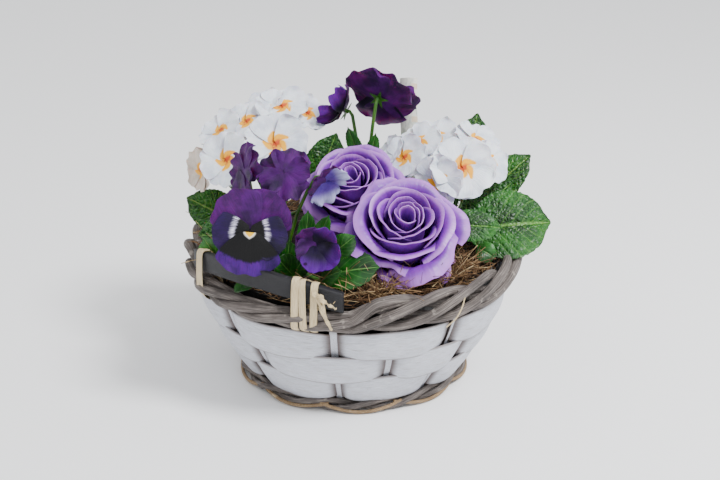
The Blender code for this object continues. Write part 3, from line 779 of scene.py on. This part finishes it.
def strands(name, count, seed, route, radius=0.00022):
    """Many thin loose fibres as one mesh; route(rng) gives the points and the tone of one of them."""
    rng = random.Random(seed)
    bm = bmesh.new()
    uv = bm.loops.layers.uv.new("UVMap")
    for _ in range(count):
        points, tone = route(rng)
        thickness = radius * rng.uniform(0.6, 1.6)
        rings = []
        for i, point in enumerate(points):
            tangent = (points[min(i + 1, len(points) - 1)] - points[max(i - 1, 0)]).normalized()
            side = tangent.orthogonal().normalized()
            up = tangent.cross(side)
            rings.append([bm.verts.new(point + thickness * (side * math.cos(a) + up * math.sin(a)))
                          for a in THIRDS])
        faces = [bm.faces.new(rings[0][::-1]), bm.faces.new(rings[-1])]
        for near, far in zip(rings, rings[1:]):
            faces += [bm.faces.new((near[k], near[(k + 1) % 3], far[(k + 1) % 3], far[k])) for k in range(3)]
        for face in faces:
            face.smooth = True
            for loop in face.loops:
                loop[uv].uv = (tone, 0.5)
    data = bpy.data.meshes.new(name)
    bm.to_mesh(data)
    bm.free()
    made = bpy.data.objects.new(name, data)
    bpy.context.scene.collection.objects.link(made)
    return made


FIBRE_SHARES = (0.0, 0.2, 0.4, 0.6, 0.8, 1.0)
MOSS_LIMIT = 0.1065


def moss_route(rng):
    """A curling fibre that lies in the gap between the plants and the rim."""
    bearing = rng.uniform(0, 360)
    radius = rng.uniform(0.088, 0.1045)
    start = around(bearing, radius, SOIL_TOP + rng.uniform(0.0, 0.007))
    heading = Vector((rng.uniform(-1, 1), rng.uniform(-1, 1), rng.uniform(-0.15, 0.55))).normalized()
    bend = Vector((rng.uniform(-1, 1), rng.uniform(-1, 1), rng.uniform(-0.9, 0.2)))
    length = rng.uniform(0.010, 0.028)
    points = [start + heading * length * s + bend * length * 0.45 * s * s for s in FIBRE_SHARES]
    for point in points:
        out = math.hypot(point.x, point.y)
        if out > MOSS_LIMIT:
            point.x, point.y = point.x * MOSS_LIMIT / out, point.y * MOSS_LIMIT / out
        point.z = max(point.z, SOIL_TOP + 0.0003)
    return points, clamp(rng.gauss(0.5, 0.25))


def tuft_route(bearing, radius, spread):
    """A route for fibres that stand up in a tuft at one place by the rim."""
    def route(rng):
        start = around(bearing + rng.gauss(0, spread), radius + rng.uniform(-0.008, 0.006),
                       SOIL_TOP + rng.uniform(0.002, 0.010))
        heading = Vector((rng.uniform(-1, 1), rng.uniform(-1, 1), rng.uniform(0.1, 1.3))).normalized()
        bend = Vector((rng.uniform(-1, 1), rng.uniform(-1, 1), rng.uniform(-1.0, 0.0)))
        length = rng.uniform(0.012, 0.026)
        points = [start + heading * length * s + bend * length * 0.4 * s * s for s in FIBRE_SHARES]
        return points, clamp(rng.gauss(0.68, 0.22))
    return route


def moss():
    ring = strands("dry_moss_ring", 1500, 21, moss_route)
    tufts = [
        strands("tuft_right", 190, 31, tuft_route(46.0, 0.094, 6.0)),
        strands("tuft_front", 160, 32, tuft_route(12.0, 0.096, 9.0), 0.00020),
        strands("tuft_left", 170, 33, tuft_route(-66.0, 0.096, 7.0)),
        strands("tuft_left_back", 140, 34, tuft_route(-92.0, 0.098, 9.0)),
    ]
    settle(joined("dry_moss_and_coir", [ring, *tufts]), "moss", FINISHES["fibre"], "moss_ring")


# --- Petals and blossoms -----------------------------------------------------------------------------
def standing(centre, facing, roll=0.0):
    """The placing of a blossom whose own +Z is its face and +Y its top."""
    facing = Vector(facing).normalized()
    side = Vector((0, 0, 1)).cross(facing)
    side = side.normalized() if side.length > 0.05 else Vector((1, 0, 0))
    up = facing.cross(side).normalized()
    turned = Matrix((side, up, facing)).transposed().to_4x4()
    return Matrix.Translation(Vector(centre)) @ turned @ Matrix.Rotation(math.radians(roll), 4, "Z")


def petal(name, length, width, notch, rounding, claw, cup, lift, ruffle, waves, seed, thickness=0.0003,
          across=12, along=10):
    """One petal from its root at the centre out along +Y, with its face towards +Z."""
    def place(u, v):
        s = 2 * u - 1
        spread = claw + (1 - claw) * math.sin(math.pi / 2 * min(1.0, v * 1.25)) ** 0.85
        spread *= 1.0 - 0.16 * clamp((v - 0.7) / 0.3) ** 2
        x = width / 2 * s * spread
        y = length * v * (1 - rounding * s * s * v - notch * math.exp(-(s / 0.22) ** 2) * v ** 4)
        edge = v * v * (0.35 + 0.65 * s * s)
        z = cup * length * s * s * v + lift * length * v * v
        z += ruffle * length * edge * math.sin(waves * math.pi * s + seed * 3.1)
        z += ruffle * length * 0.8 * v * noise.noise(Vector((s * 1.8 + seed * 7.3, v * 2.2, seed * 1.9)))
        y += 0.05 * length * v * noise.noise(Vector((s * 3.1 + seed, 5.0, seed)))
        return Vector((x, y, z))

    made = sheet(name, across, along, place)
    return thicken(made, thickness, 0.0)


PRIMULA_PETALS = 5


def primula_bloom(name, centre, facing, radius, roll, seed):
    """Five broad notched petals that overlap in turn round a short throat."""
    bloom_place = standing(centre, facing, roll)
    made = []
    for i in range(PRIMULA_PETALS):
        lift = 0.10 + 0.05 * math.sin(i * 2.4 + seed)
        one = petal(f"{name}_petal_{i}", radius, radius * 1.36, 0.13, 0.24, 0.18, 0.02, lift, 0.085,
                    2.0 + (i % 3) * 0.6, seed + i * 1.37)
        tilt = Matrix.Rotation(math.radians(7.0), 4, "Y") @ Matrix.Translation((0, 0, 0.0004 * i))
        one.matrix_world = bloom_place @ Matrix.Rotation(2 * math.pi * i / PRIMULA_PETALS, 4, "Z") @ tilt
        made.append(one)
    return made


# Blossoms: name, centre, facing, radius, roll. The cream ones have no node of their own.
LEFT_HEADS = (
    ("primula_left_flower_1", (-0.0545, -0.0020, 0.1695), (0.10, -0.78, 0.60), 0.0235, 8.0),
    ("primula_left_flower_2", (-0.0880, -0.0120, 0.1610), (-0.34, -0.80, 0.42), 0.0205, 30.0),
    ("primula_left_flower_3", (-0.0945, 0.0200, 0.1730), (-0.50, -0.45, 0.75), 0.0180, 0.0),
    ("primula_left_flower_4", (-0.0520, 0.0400, 0.1850), (0.00, -0.45, 0.90), 0.0205, 12.0),
    ("primula_left_flower_5", (-0.1080, 0.0020, 0.1495), (-0.75, -0.60, 0.10), 0.0165, 40.0),
)
LEFT_EXTRA = (
    ("cream_blossom_left_a", (-0.0770, 0.0320, 0.1760), (-0.20, -0.55, 0.80), 0.0180, 25.0),
    ("cream_blossom_left_b", (-0.0340, 0.0430, 0.1790), (0.45, -0.50, 0.75), 0.0160, 5.0),
    ("cream_blossom_left_c", (-0.0660, 0.0480, 0.1840), (-0.35, -0.30, 0.90), 0.0170, 50.0),
)
RIGHT_HEADS = (
    ("primula_right_flower_1", (0.0755, -0.0220, 0.1580), (0.05, -0.82, 0.50), 0.0235, 4.0),
    ("primula_right_flower_2", (0.0590, -0.0250, 0.1500), (-0.35, -0.85, 0.20), 0.0190, 20.0),
    ("primula_right_flower_3", (0.0365, -0.0040, 0.1600), (-0.45, -0.60, 0.60), 0.0180, 33.0),
    ("primula_right_flower_4", (0.0590, 0.0240, 0.1660), (-0.10, -0.45, 0.90), 0.0190, 14.0),
    ("primula_right_flower_5", (0.0880, 0.0190, 0.1650), (0.35, -0.35, 0.85), 0.0185, 41.0),
)
RIGHT_EXTRA = (
    ("cream_blossom_right_a", (0.0470, 0.0090, 0.1660), (-0.30, -0.50, 0.80), 0.0175, 60.0),
    ("cream_blossom_right_b", (0.0960, -0.0030, 0.1560), (0.65, -0.55, 0.45), 0.0165, 22.0),
    ("cream_blossom_right_c", (0.0270, 0.0090, 0.1600), (-0.60, -0.30, 0.55), 0.0140, 9.0),
)


def primulas():
    for side, heads, extra in (("left", LEFT_HEADS, LEFT_EXTRA), ("right", RIGHT_HEADS, RIGHT_EXTRA)):
        for index, (node, centre, facing, radius, roll) in enumerate((*heads, *extra)):
            petals = primula_bloom(node, centre, facing, radius, roll, index * 2.3 + len(side))
            blossom = smooth(joined(f"{node}_petals", petals), 80.0)
            # the fifth left blossom takes the beige copy, whose colour is painted shade
            finish = FINISHES["primula_painted_shade" if node == "primula_left_flower_5" else "primula"]
            nodes = (node,) if node.startswith("primula") else ()
            settle(blossom, "primula_white", finish, *nodes)


# Petals of a pansy: turn, length and width over the blossom's size, finish, height above the heart, lift,
# notch and ruffle
FACE_PLAN = (
    (34.0, 1.00, 1.30, "pansy_upper", -0.0016, 0.02, 0.03, 0.03),
    (-34.0, 1.02, 1.30, "pansy_upper", -0.0024, 0.02, 0.03, 0.03),
    (101.0, 0.84, 1.00, "pansy_side", 0.0006, 0.02, 0.03, 0.05),
    (-101.0, 0.84, 1.00, "pansy_side", 0.0009, 0.02, 0.03, 0.05),
    (180.0, 0.98, 1.42, "pansy_lower", 0.0016, 0.02, 0.07, 0.06),
)
# Petals of the other pansies: turn, length, width, finish, lift
OPEN_PLAN = ((30, 1.0, 1.3, "pansy_back", -0.10), (-32, 1.0, 1.3, "pansy_back", -0.10),
             (100, 0.85, 1.05, "pansy_back", 0.10), (-100, 0.85, 1.05, "pansy_upper", 0.10),
             (180, 1.0, 1.35, "pansy_back", 0.05))
DROOPED_PLAN = ((30, 1.0, 1.3, "pansy_back", -0.15), (-32, 1.0, 1.3, "pansy_back", -0.20),
                (100, 0.95, 1.05, "pansy_upper", 0.25), (-100, 0.85, 1.05, "pansy_upper", 0.25),
                (180, 1.25, 1.35, "pansy_dark", 0.30))
CLOSED_PLAN = ((20, 1.0, 1.1, "pansy_back", 0.45), (-60, 0.95, 1.1, "pansy_dark", 0.5),
               (80, 0.9, 1.1, "pansy_back", 0.45), (140, 0.95, 1.1, "pansy_dark", 0.6),
               (210, 1.0, 1.2, "pansy_dark", 0.5))
PALE_PLAN = ((10, 1.0, 1.2, "pansy_back", 0.30), (-70, 0.9, 1.1, "pansy_pale", 0.35),
             (85, 0.9, 1.1, "pansy_back", 0.2), (180, 1.1, 1.4, "pansy_pale", 0.15))
# Pansies that don't face the front: name, centre, facing, size, roll, seed, plan, ruffle
SIDE_PANSIES = (
    ("pansy_tall", (0.020, 0.034, 0.196), (0.25, 0.62, 0.30), 0.0300, 12.0, 2.0, DROOPED_PLAN, 0.13),
    ("pansy_tall_small", (-0.010, 0.040, 0.184), (-0.65, 0.30, 0.30), 0.0185, 30.0, 3.0, CLOSED_PLAN, 0.12),
    ("pansy_left", (-0.075, -0.057, 0.166), (-0.82, -0.40, 0.15), 0.0215, -10.0, 4.0, OPEN_PLAN, 0.16),
    ("pansy_ruffled", (-0.046, -0.056, 0.166), (-0.10, -0.70, 0.70), 0.0215, 20.0, 5.0, OPEN_PLAN, 0.22),
    ("pansy_wilted", (-0.017, -0.060, 0.159), (0.45, -0.62, -0.35), 0.0170, 10.0, 6.0, PALE_PLAN, 0.15),
    ("pansy_bud", (-0.0236, -0.090, 0.126), (0.05, -0.95, 0.10), 0.0165, 25.0, 7.0, CLOSED_PLAN, 0.14),
)
HEART_BACK, SEPALS_BACK, SEPAL_SIZE, SEPAL_COUNT = 0.0035, 0.0055, 0.0095, 5


def turned_petal(name, place, turn, height, finish, length, width, notch, lift, ruffle, waves, seed):
    """A petal of a pansy, turned to its place round the heart."""
    one = petal(name, length, width, notch, 0.28, 0.28, 0.02, lift, ruffle, waves, seed, 0.00035, 16, 12)
    one.data.materials.append(FINISHES[finish])
    turned = Matrix.Rotation(math.radians(turn), 4, "Z")
    one.matrix_world = place @ Matrix.Translation((0, 0, height)) @ turned
    return one


def pansy_face(name, centre, facing, size, roll, seed):
    """A whole pansy: two upper petals behind, two side petals and the broad lower one in front."""
    place = standing(centre, facing, roll)
    made = []
    for i, (turn, length, width, finish, height, lift, notch, ruffle) in enumerate(FACE_PLAN):
        made.append(turned_petal(f"{name}_{i}", place, turn, height, finish, size * length, size * width,
                                 notch, lift, ruffle, 2.2, seed + i))
    return made


def side_pansy(name, centre, facing, size, roll, seed, plan, ruffle):
    """A pansy that isn't seen from the front."""
    place = standing(Vector(centre) - Vector(facing).normalized() * HEART_BACK, facing, roll)
    made = []
    for i, (turn, length, width, finish, lift) in enumerate(plan):
        made.append(turned_petal(f"{name}_{i}", place, turn, 0.0005 * i, finish, size * length, size * width,
                                 0.05, lift, ruffle, 2.4, seed + i * 1.9))
    return made


def sepals(name, centre, facing):
    """The star of narrow green sepals behind a pansy, each with its short spur."""
    place = standing(Vector(centre) - Vector(facing).normalized() * SEPALS_BACK, facing)
    made = []
    for i in range(SEPAL_COUNT):
        one = petal(f"{name}_{i}", SEPAL_SIZE, SEPAL_SIZE * 0.36, -0.10, 0.5, 0.5, 0.0, -0.05, 0.02, 1.0,
                    i * 1.7, 0.0003, 4, 6)
        one.data.materials.append(FINISHES["stalk"])
        turn = Matrix.Rotation(2 * math.pi * (i + 0.3) / SEPAL_COUNT, 4, "Z")
        one.matrix_world = place @ turn @ Matrix.Translation((0, -SEPAL_SIZE * 0.25, 0))
        made.append(one)
    return made


def pansies():
    face = pansy_face("front_pansy", (-0.0665, -0.0925, 0.1375), (-0.02, -0.97, 0.26), 0.0300, -4.0, 1.0)
    settle(smooth(joined("pansy_front_petals", face), 80.0), "pansy_purple", None, "pansy_front")
    for node, centre, facing, *rest in SIDE_PANSIES:
        made = side_pansy(node, centre, facing, *rest) + sepals(f"{node}_sepals", centre, facing)
        settle(smooth(joined(f"{node}_petals", made), 80.0), "pansy_purple", None, node)


# Rings of a rose: petals, radius, half the turn that each petal takes, height and roll of the lip, turn
ROSE_RINGS = (
    (1, 0.13, 150.0, 0.47, 0.02, 0.0),
    (2, 0.22, 120.0, 0.49, 0.04, 40.0),
    (2, 0.33, 110.0, 0.50, 0.07, 120.0),
    (3, 0.47, 84.0, 0.49, 0.10, 20.0),
    (3, 0.63, 80.0, 0.45, 0.15, 75.0),
    (4, 0.80, 66.0, 0.37, 0.22, 10.0),
    (4, 0.95, 62.0, 0.24, 0.30, 55.0),
    (5, 1.00, 50.0, 0.05, 0.26, 25.0),
)
FIRST_OUTER_RING = 6


def rose(name, centre, facing, radius, height, node, seed, roll, ragged):
    """A rose head: a tight spiral heart, then rings of wrapped petals whose lips roll outwards."""
    rng = random.Random(seed)
    place_all = standing(centre, facing, roll)
    made = []
    for ring, (count, reach, half_span, top, roll_out, turn) in enumerate(ROSE_RINGS):
        for i in range(count):
            middle = turn + 360.0 * i / count + rng.uniform(-7, 7)
            lip = top * height * (1 + rng.uniform(-0.05, 0.05))
            size = reach * radius * (1 + rng.uniform(-0.03, 0.03))
            curl = roll_out * radius * (1 + rng.uniform(-0.2, 0.3))
            wave = rng.uniform(0, 6.28)
            fray = (0.030 + (ragged * 0.10 if ring >= FIRST_OUTER_RING else 0.0)) * radius

            def place(u, v):
                s = 2 * u - 1
                angle = math.radians(middle + half_span * s)
                top_here = lip - 0.16 * height * abs(s) ** 2.6
                base = -0.50 * height
                z = base + (top_here - base) * v
                belly = 0.30 + 0.70 * math.sin(math.pi / 2 * clamp(v * 1.35)) ** 0.7
                out = size * belly * (1 + 0.07 * s) + 0.0006 * s
                over = clamp((v - 0.80) / 0.20)
                out += curl * over ** 1.7 * (1 - 0.35 * s * s)
                z -= curl * 0.75 * over ** 3
                out += fray * over * math.sin(4.2 * s + wave)
                out += fray * 0.8 * over * noise.noise(Vector((s * 4, wave, ring)))
                z += fray * 0.9 * over * noise.noise(Vector((s * 5 + 9, wave, ring)))
                out += 0.020 * radius * noise.noise(Vector((s * 1.5 + wave, v * 2.0, ring * 3.1)))
                return Vector((out * math.sin(angle), out * math.cos(angle), z))

            one = thicken(sheet(f"{name}_{ring}_{i}", 26, 22, place), 0.0006, 0.0)
            one.matrix_world = place_all
            made.append(one)
    settle(smooth(joined(f"{node}_petals", made), 80.0), "rose_lilac", FINISHES["rose"], node)


def roses():
    rose("front", (0.0345, -0.0600, 0.1250), (0.02, -0.62, 0.78), 0.0310, 0.0580, "rose_front", 5, 10.0, 1.0)
    rose("back", (0.0010, -0.0190, 0.1385), (-0.10, -0.60, 0.80), 0.0285, 0.0560, "rose_back", 8, 70.0, 0.2)


# --- Leaves ------------------------------------------------------------------------------------------
def leaf_blade(name, base, tip, width, facing, sag, quilt, teeth, seed, curl, wave):
    """A leaf blade from base to tip, quilted between its side veins, with a wavy toothed edge."""
    base, tip, facing = Vector(base), Vector(tip), Vector(facing).normalized()
    along = tip - base
    length = along.length
    across = along.cross(facing).normalized()
    facing = across.cross(along).normalized()

    def place(u, v):
        s = 2 * u - 1
        outline = 0.10 + 0.90 * math.sin(math.pi * clamp(0.03 + 0.94 * v)) ** 0.62
        if v > 0.9:
            outline *= math.sqrt(clamp((1.0 - v) / 0.1 + 0.16))
        scallop = 1.0 + teeth * abs(math.sin(v * math.pi * 13 + seed)) * abs(s) ** 6
        half = width / 2 * outline * scallop
        veins = (v - 0.375 * abs(s)) * 8.0
        puff = quilt * (abs(math.sin(math.pi * veins)) ** 0.6 - 0.5) * outline
        puff *= 1 - math.exp(-(s / 0.10) ** 2)
        puff += quilt * 0.7 * rough((s * width, v * length, seed), 0.004)
        relief = sag * math.sin(math.pi * v) + 0.10 * half * abs(s) - 0.10 * half * math.exp(-(s / 0.12) ** 2)
        relief += wave * half * math.sin(5.0 * v + seed + 2.2 * s) * abs(s) ** 1.5 + puff
        relief -= curl * half * s * s
        return base + along * v * (1.0 - 0.05 * s * s) + across * half * s + facing * relief

    made = sheet(name, 28, 34, place)
    return thicken(made, 0.0005, -1.0)


# Leaves: node, base, tip, width, facing, sag, seed
RIGHT_LEAVES = (
    ("primula_right_leaf_1", (0.08, 0.04, 0.115),
     (0.0925, 0.056, 0.176), 0.031, (-0.1, -1.0, 0.25), 0.003, 1.0),
    ("primula_right_leaf_2", (0.09, 0.024, 0.112),
     (0.129, 0.026, 0.153), 0.03, (-0.4, -0.8, 0.5), 0.004, 2.0),
    ("primula_right_leaf_3", (0.08, -0.004, 0.106),
     (0.113, 0.006, 0.138), 0.031, (-0.5, -0.8, 0.5), 0.003, 3.0),
    ("primula_right_leaf_4", (0.082, -0.02, 0.112),
     (0.139, -0.021, 0.118), 0.05, (0.05, -0.8, 0.62), 0.005, 4.0),
    ("primula_right_leaf_5", (0.06, -0.042, 0.123),
     (0.101, -0.048, 0.124), 0.023, (0.0, -0.75, 0.65), 0.003, 5.0),
    ("primula_right_leaf_6", (0.053, -0.013, 0.124),
     (0.033, -0.03, 0.15), 0.025, (-0.3, -0.9, 0.35), 0.002, 6.0),
)
LEFT_LEAVES = (
    ("primula_left_leaf_1", (-0.033, 0.02, 0.12),
     (-0.012, 0.016, 0.172), 0.03, (0.15, -1.0, 0.25), 0.003, 7.0),
    ("primula_left_leaf_2", (-0.088, 0.02, 0.104),
     (-0.12, 0.006, 0.127), 0.03, (-0.3, -0.8, 0.5), 0.004, 8.0),
    ("primula_left_leaf_3", (-0.078, -0.02, 0.104),
     (-0.107, -0.038, 0.115), 0.028, (-0.2, -0.8, 0.7), 0.003, 9.0),
)
PANSY_LEAVES = (
    ("pansy_leaf_1", (-0.018, -0.079, 0.102), (0.017, -0.092, 0.113), 0.026, (0.0, -0.8, 0.7), 0.003, 10.0),
    ("pansy_leaf_2", (-0.014, -0.082, 0.118), (0.001, -0.088, 0.133), 0.015, (0.1, -0.95, 0.4), 0.001, 11.0),
    ("pansy_leaf_3", (-0.04, -0.076, 0.1), (-0.05, -0.088, 0.118), 0.018, (0.1, -0.9, 0.5), 0.001, 12.0),
)


def leaves():
    kinds = (((*RIGHT_LEAVES, *LEFT_LEAVES), "primula_leaf", (0.0011, 0.05), (0.10, 0.08)),
             (PANSY_LEAVES, "pansy_leaf", (0.0002, 0.10), (0.06, 0.04)))
    for table, finish, surface, bends in kinds:
        for node, base, tip, width, facing, sag, seed in table:
            blade = leaf_blade(f"{node}_blade", base, tip, width, facing, sag, *surface, seed, *bends)
            settle(smooth(blade, 80.0), "leaf", FINISHES[finish], node)


# --- The rest of the CAD nodes, the camera and the light ---------------------------------------------
def carried_over():
    """CAD nodes whose shape stays take their finish here."""
    kept = {"liner_foil": "foil"}
    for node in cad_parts:
        obj = bpy.data.objects.get(node)
        if obj is None:
            continue
        if node in kept:
            name = kept[node]
        elif "stalks" in node or "stem" in node:
            name = "stalk"
        elif node.startswith("pansy"):
            name = "pansy_upper"
        elif node == "plant_label":
            name = "label"
        else:
            continue
        obj.data.materials.clear()
        obj.data.materials.append(FINISHES[name])


def plant_label():
    """A curved card stake, set behind the blossoms."""
    low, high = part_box("plant_label")
    foot, top = low[2], high[2]
    middle = centre_of("plant_label")

    def place(u, v):
        z = foot + (top - foot) * v
        side = 0.0125 * (u - 0.5) * min(1.0, 0.15 + 7.0 * v)
        curve = 0.0022 * math.sin(4.0 * v) + 0.0025 * (2 * u - 1) ** 2
        sway = 0.0015 * math.sin(5.0 * v)
        return Vector((middle.x + side + sway, middle.y + curve, z - 0.0012 * (2 * u - 1) ** 2 * v))

    card = thicken(sheet("grower_label", 10, 40, place), 0.0007, 0.0)
    settle(smooth(card, 50.0), "label", FINISHES["label"], "plant_label")


# Small leaves: base, tip, width, facing
FILLER_LEAVES = (
    ((-0.0460, -0.0700, 0.0960), (-0.0420, -0.0800, 0.1270), 0.0150, (0.2, -0.95, 0.2)),
    ((-0.0400, -0.0720, 0.1000), (-0.0300, -0.0830, 0.1180), 0.0140, (-0.1, -0.9, 0.5)),
    ((-0.0340, -0.0600, 0.1100), (-0.0300, -0.0640, 0.1420), 0.0120, (0.3, -0.9, 0.2)),
    ((-0.0260, -0.0640, 0.1180), (-0.0160, -0.0740, 0.1420), 0.0100, (0.0, -1.0, 0.3)),
    ((-0.0220, -0.0800, 0.0980), (-0.0080, -0.0960, 0.1120), 0.0140, (-0.2, -0.8, 0.6)),
    ((-0.0880, -0.0500, 0.0960), (-0.1020, -0.0520, 0.1180), 0.0200, (-0.4, -0.9, 0.3)),
    ((-0.0780, -0.0760, 0.0950), (-0.0640, -0.0900, 0.0990), 0.0160, (0.1, -0.7, 0.8)),
    ((0.0060, 0.0240, 0.1500), (-0.0040, 0.0180, 0.1760), 0.0100, (-0.2, -1.0, 0.1)),
    ((0.0100, 0.0260, 0.1440), (0.0160, 0.0160, 0.1720), 0.0100, (0.2, -1.0, 0.1)),
    ((0.0860, -0.0400, 0.1060), (0.0980, -0.0440, 0.1000), 0.0140, (0.0, -0.8, 0.6)),
)


def filler_leaves():
    """Small leaves of the two pansy plants that fill the gaps between the blossoms."""
    made = []
    for i, (base, tip, width, facing) in enumerate(FILLER_LEAVES):
        name = f"small_leaf_{i}"
        made.append(leaf_blade(name, base, tip, width, facing, 0.002, 0.0002, 0.12, i * 1.3, 0.08, 0.10))
    settle(smooth(joined("pansy_small_leaves", made), 80.0), "leaf", FINISHES["pansy_leaf"])


def white_twig():
    """A thin peeled twig caught in the rim on the right."""
    path = curve_through([around(37.0, 0.1215, 0.0950), around(35.0, 0.1240, 0.0890),
                          around(32.5, 0.1245, 0.0820), around(30.0, 0.1215, 0.0760)], 6)
    settle(sweep("white_twig", doubled_ends(path), 0.0005, sides=6), "willow", FINISHES["raffia"])


def aim(obj, target):
    obj.rotation_euler = (Vector(target) - obj.location).to_track_quat("-Z", "Y").to_euler()


def area_light(name, place, target, size, power, colour):
    data = bpy.data.lights.new(name, "AREA")
    data.shape = "DISK"
    data.size = size
    data.energy = power
    data.color = colour
    lamp = bpy.data.objects.new(name, data)
    lamp.location = place
    aim(lamp, target)
    bpy.context.scene.collection.objects.link(lamp)


def studio():
    """A white sweep, a soft key from the upper right and a high camera in front."""
    bpy.ops.object.select_all(action="DESELECT")
    bpy.ops.mesh.primitive_plane_add(size=8.0, location=(0, 0, -0.0002))
    floor = bpy.context.object
    floor.name = "studio_floor"
    finish = Finish("studio floor", roughness=0.9)
    finish.shader.inputs["Base Color"].default_value = (0.98, 0.98, 0.98, 1.0)
    floor.data.materials.append(finish.material)
    world = bpy.data.worlds.new("studio air")
    world.use_nodes = True
    world.node_tree.nodes["Background"].inputs["Color"].default_value = (0.97, 0.98, 1.0, 1.0)
    world.node_tree.nodes["Background"].inputs["Strength"].default_value = 1.2
    bpy.context.scene.world = world
    area_light("key", (0.75, -0.60, 1.30), (0.0, 0.0, 0.10), 0.45, 32.0, (0.97, 0.98, 1.0))
    lens = bpy.data.cameras.new("camera")
    lens.lens = 61.7
    lens.sensor_width = 36.0
    lens.shift_x = 0.0093
    lens.shift_y = 0.0204
    camera = bpy.data.objects.new("camera", lens)
    camera.location = (0.0, -0.8362, 0.4178)
    aim(camera, (0.0, 0.0, 0.085))
    bpy.context.scene.collection.objects.link(camera)
    bpy.context.scene.camera = camera


wall_bands()
base_and_stakes()
rim_rods()
foot_rods()
handles()
ties()
soil_surface()
moss()
primulas()
pansies()
roses()
leaves()
plant_label()
filler_leaves()
white_twig()
carried_over()
studio()
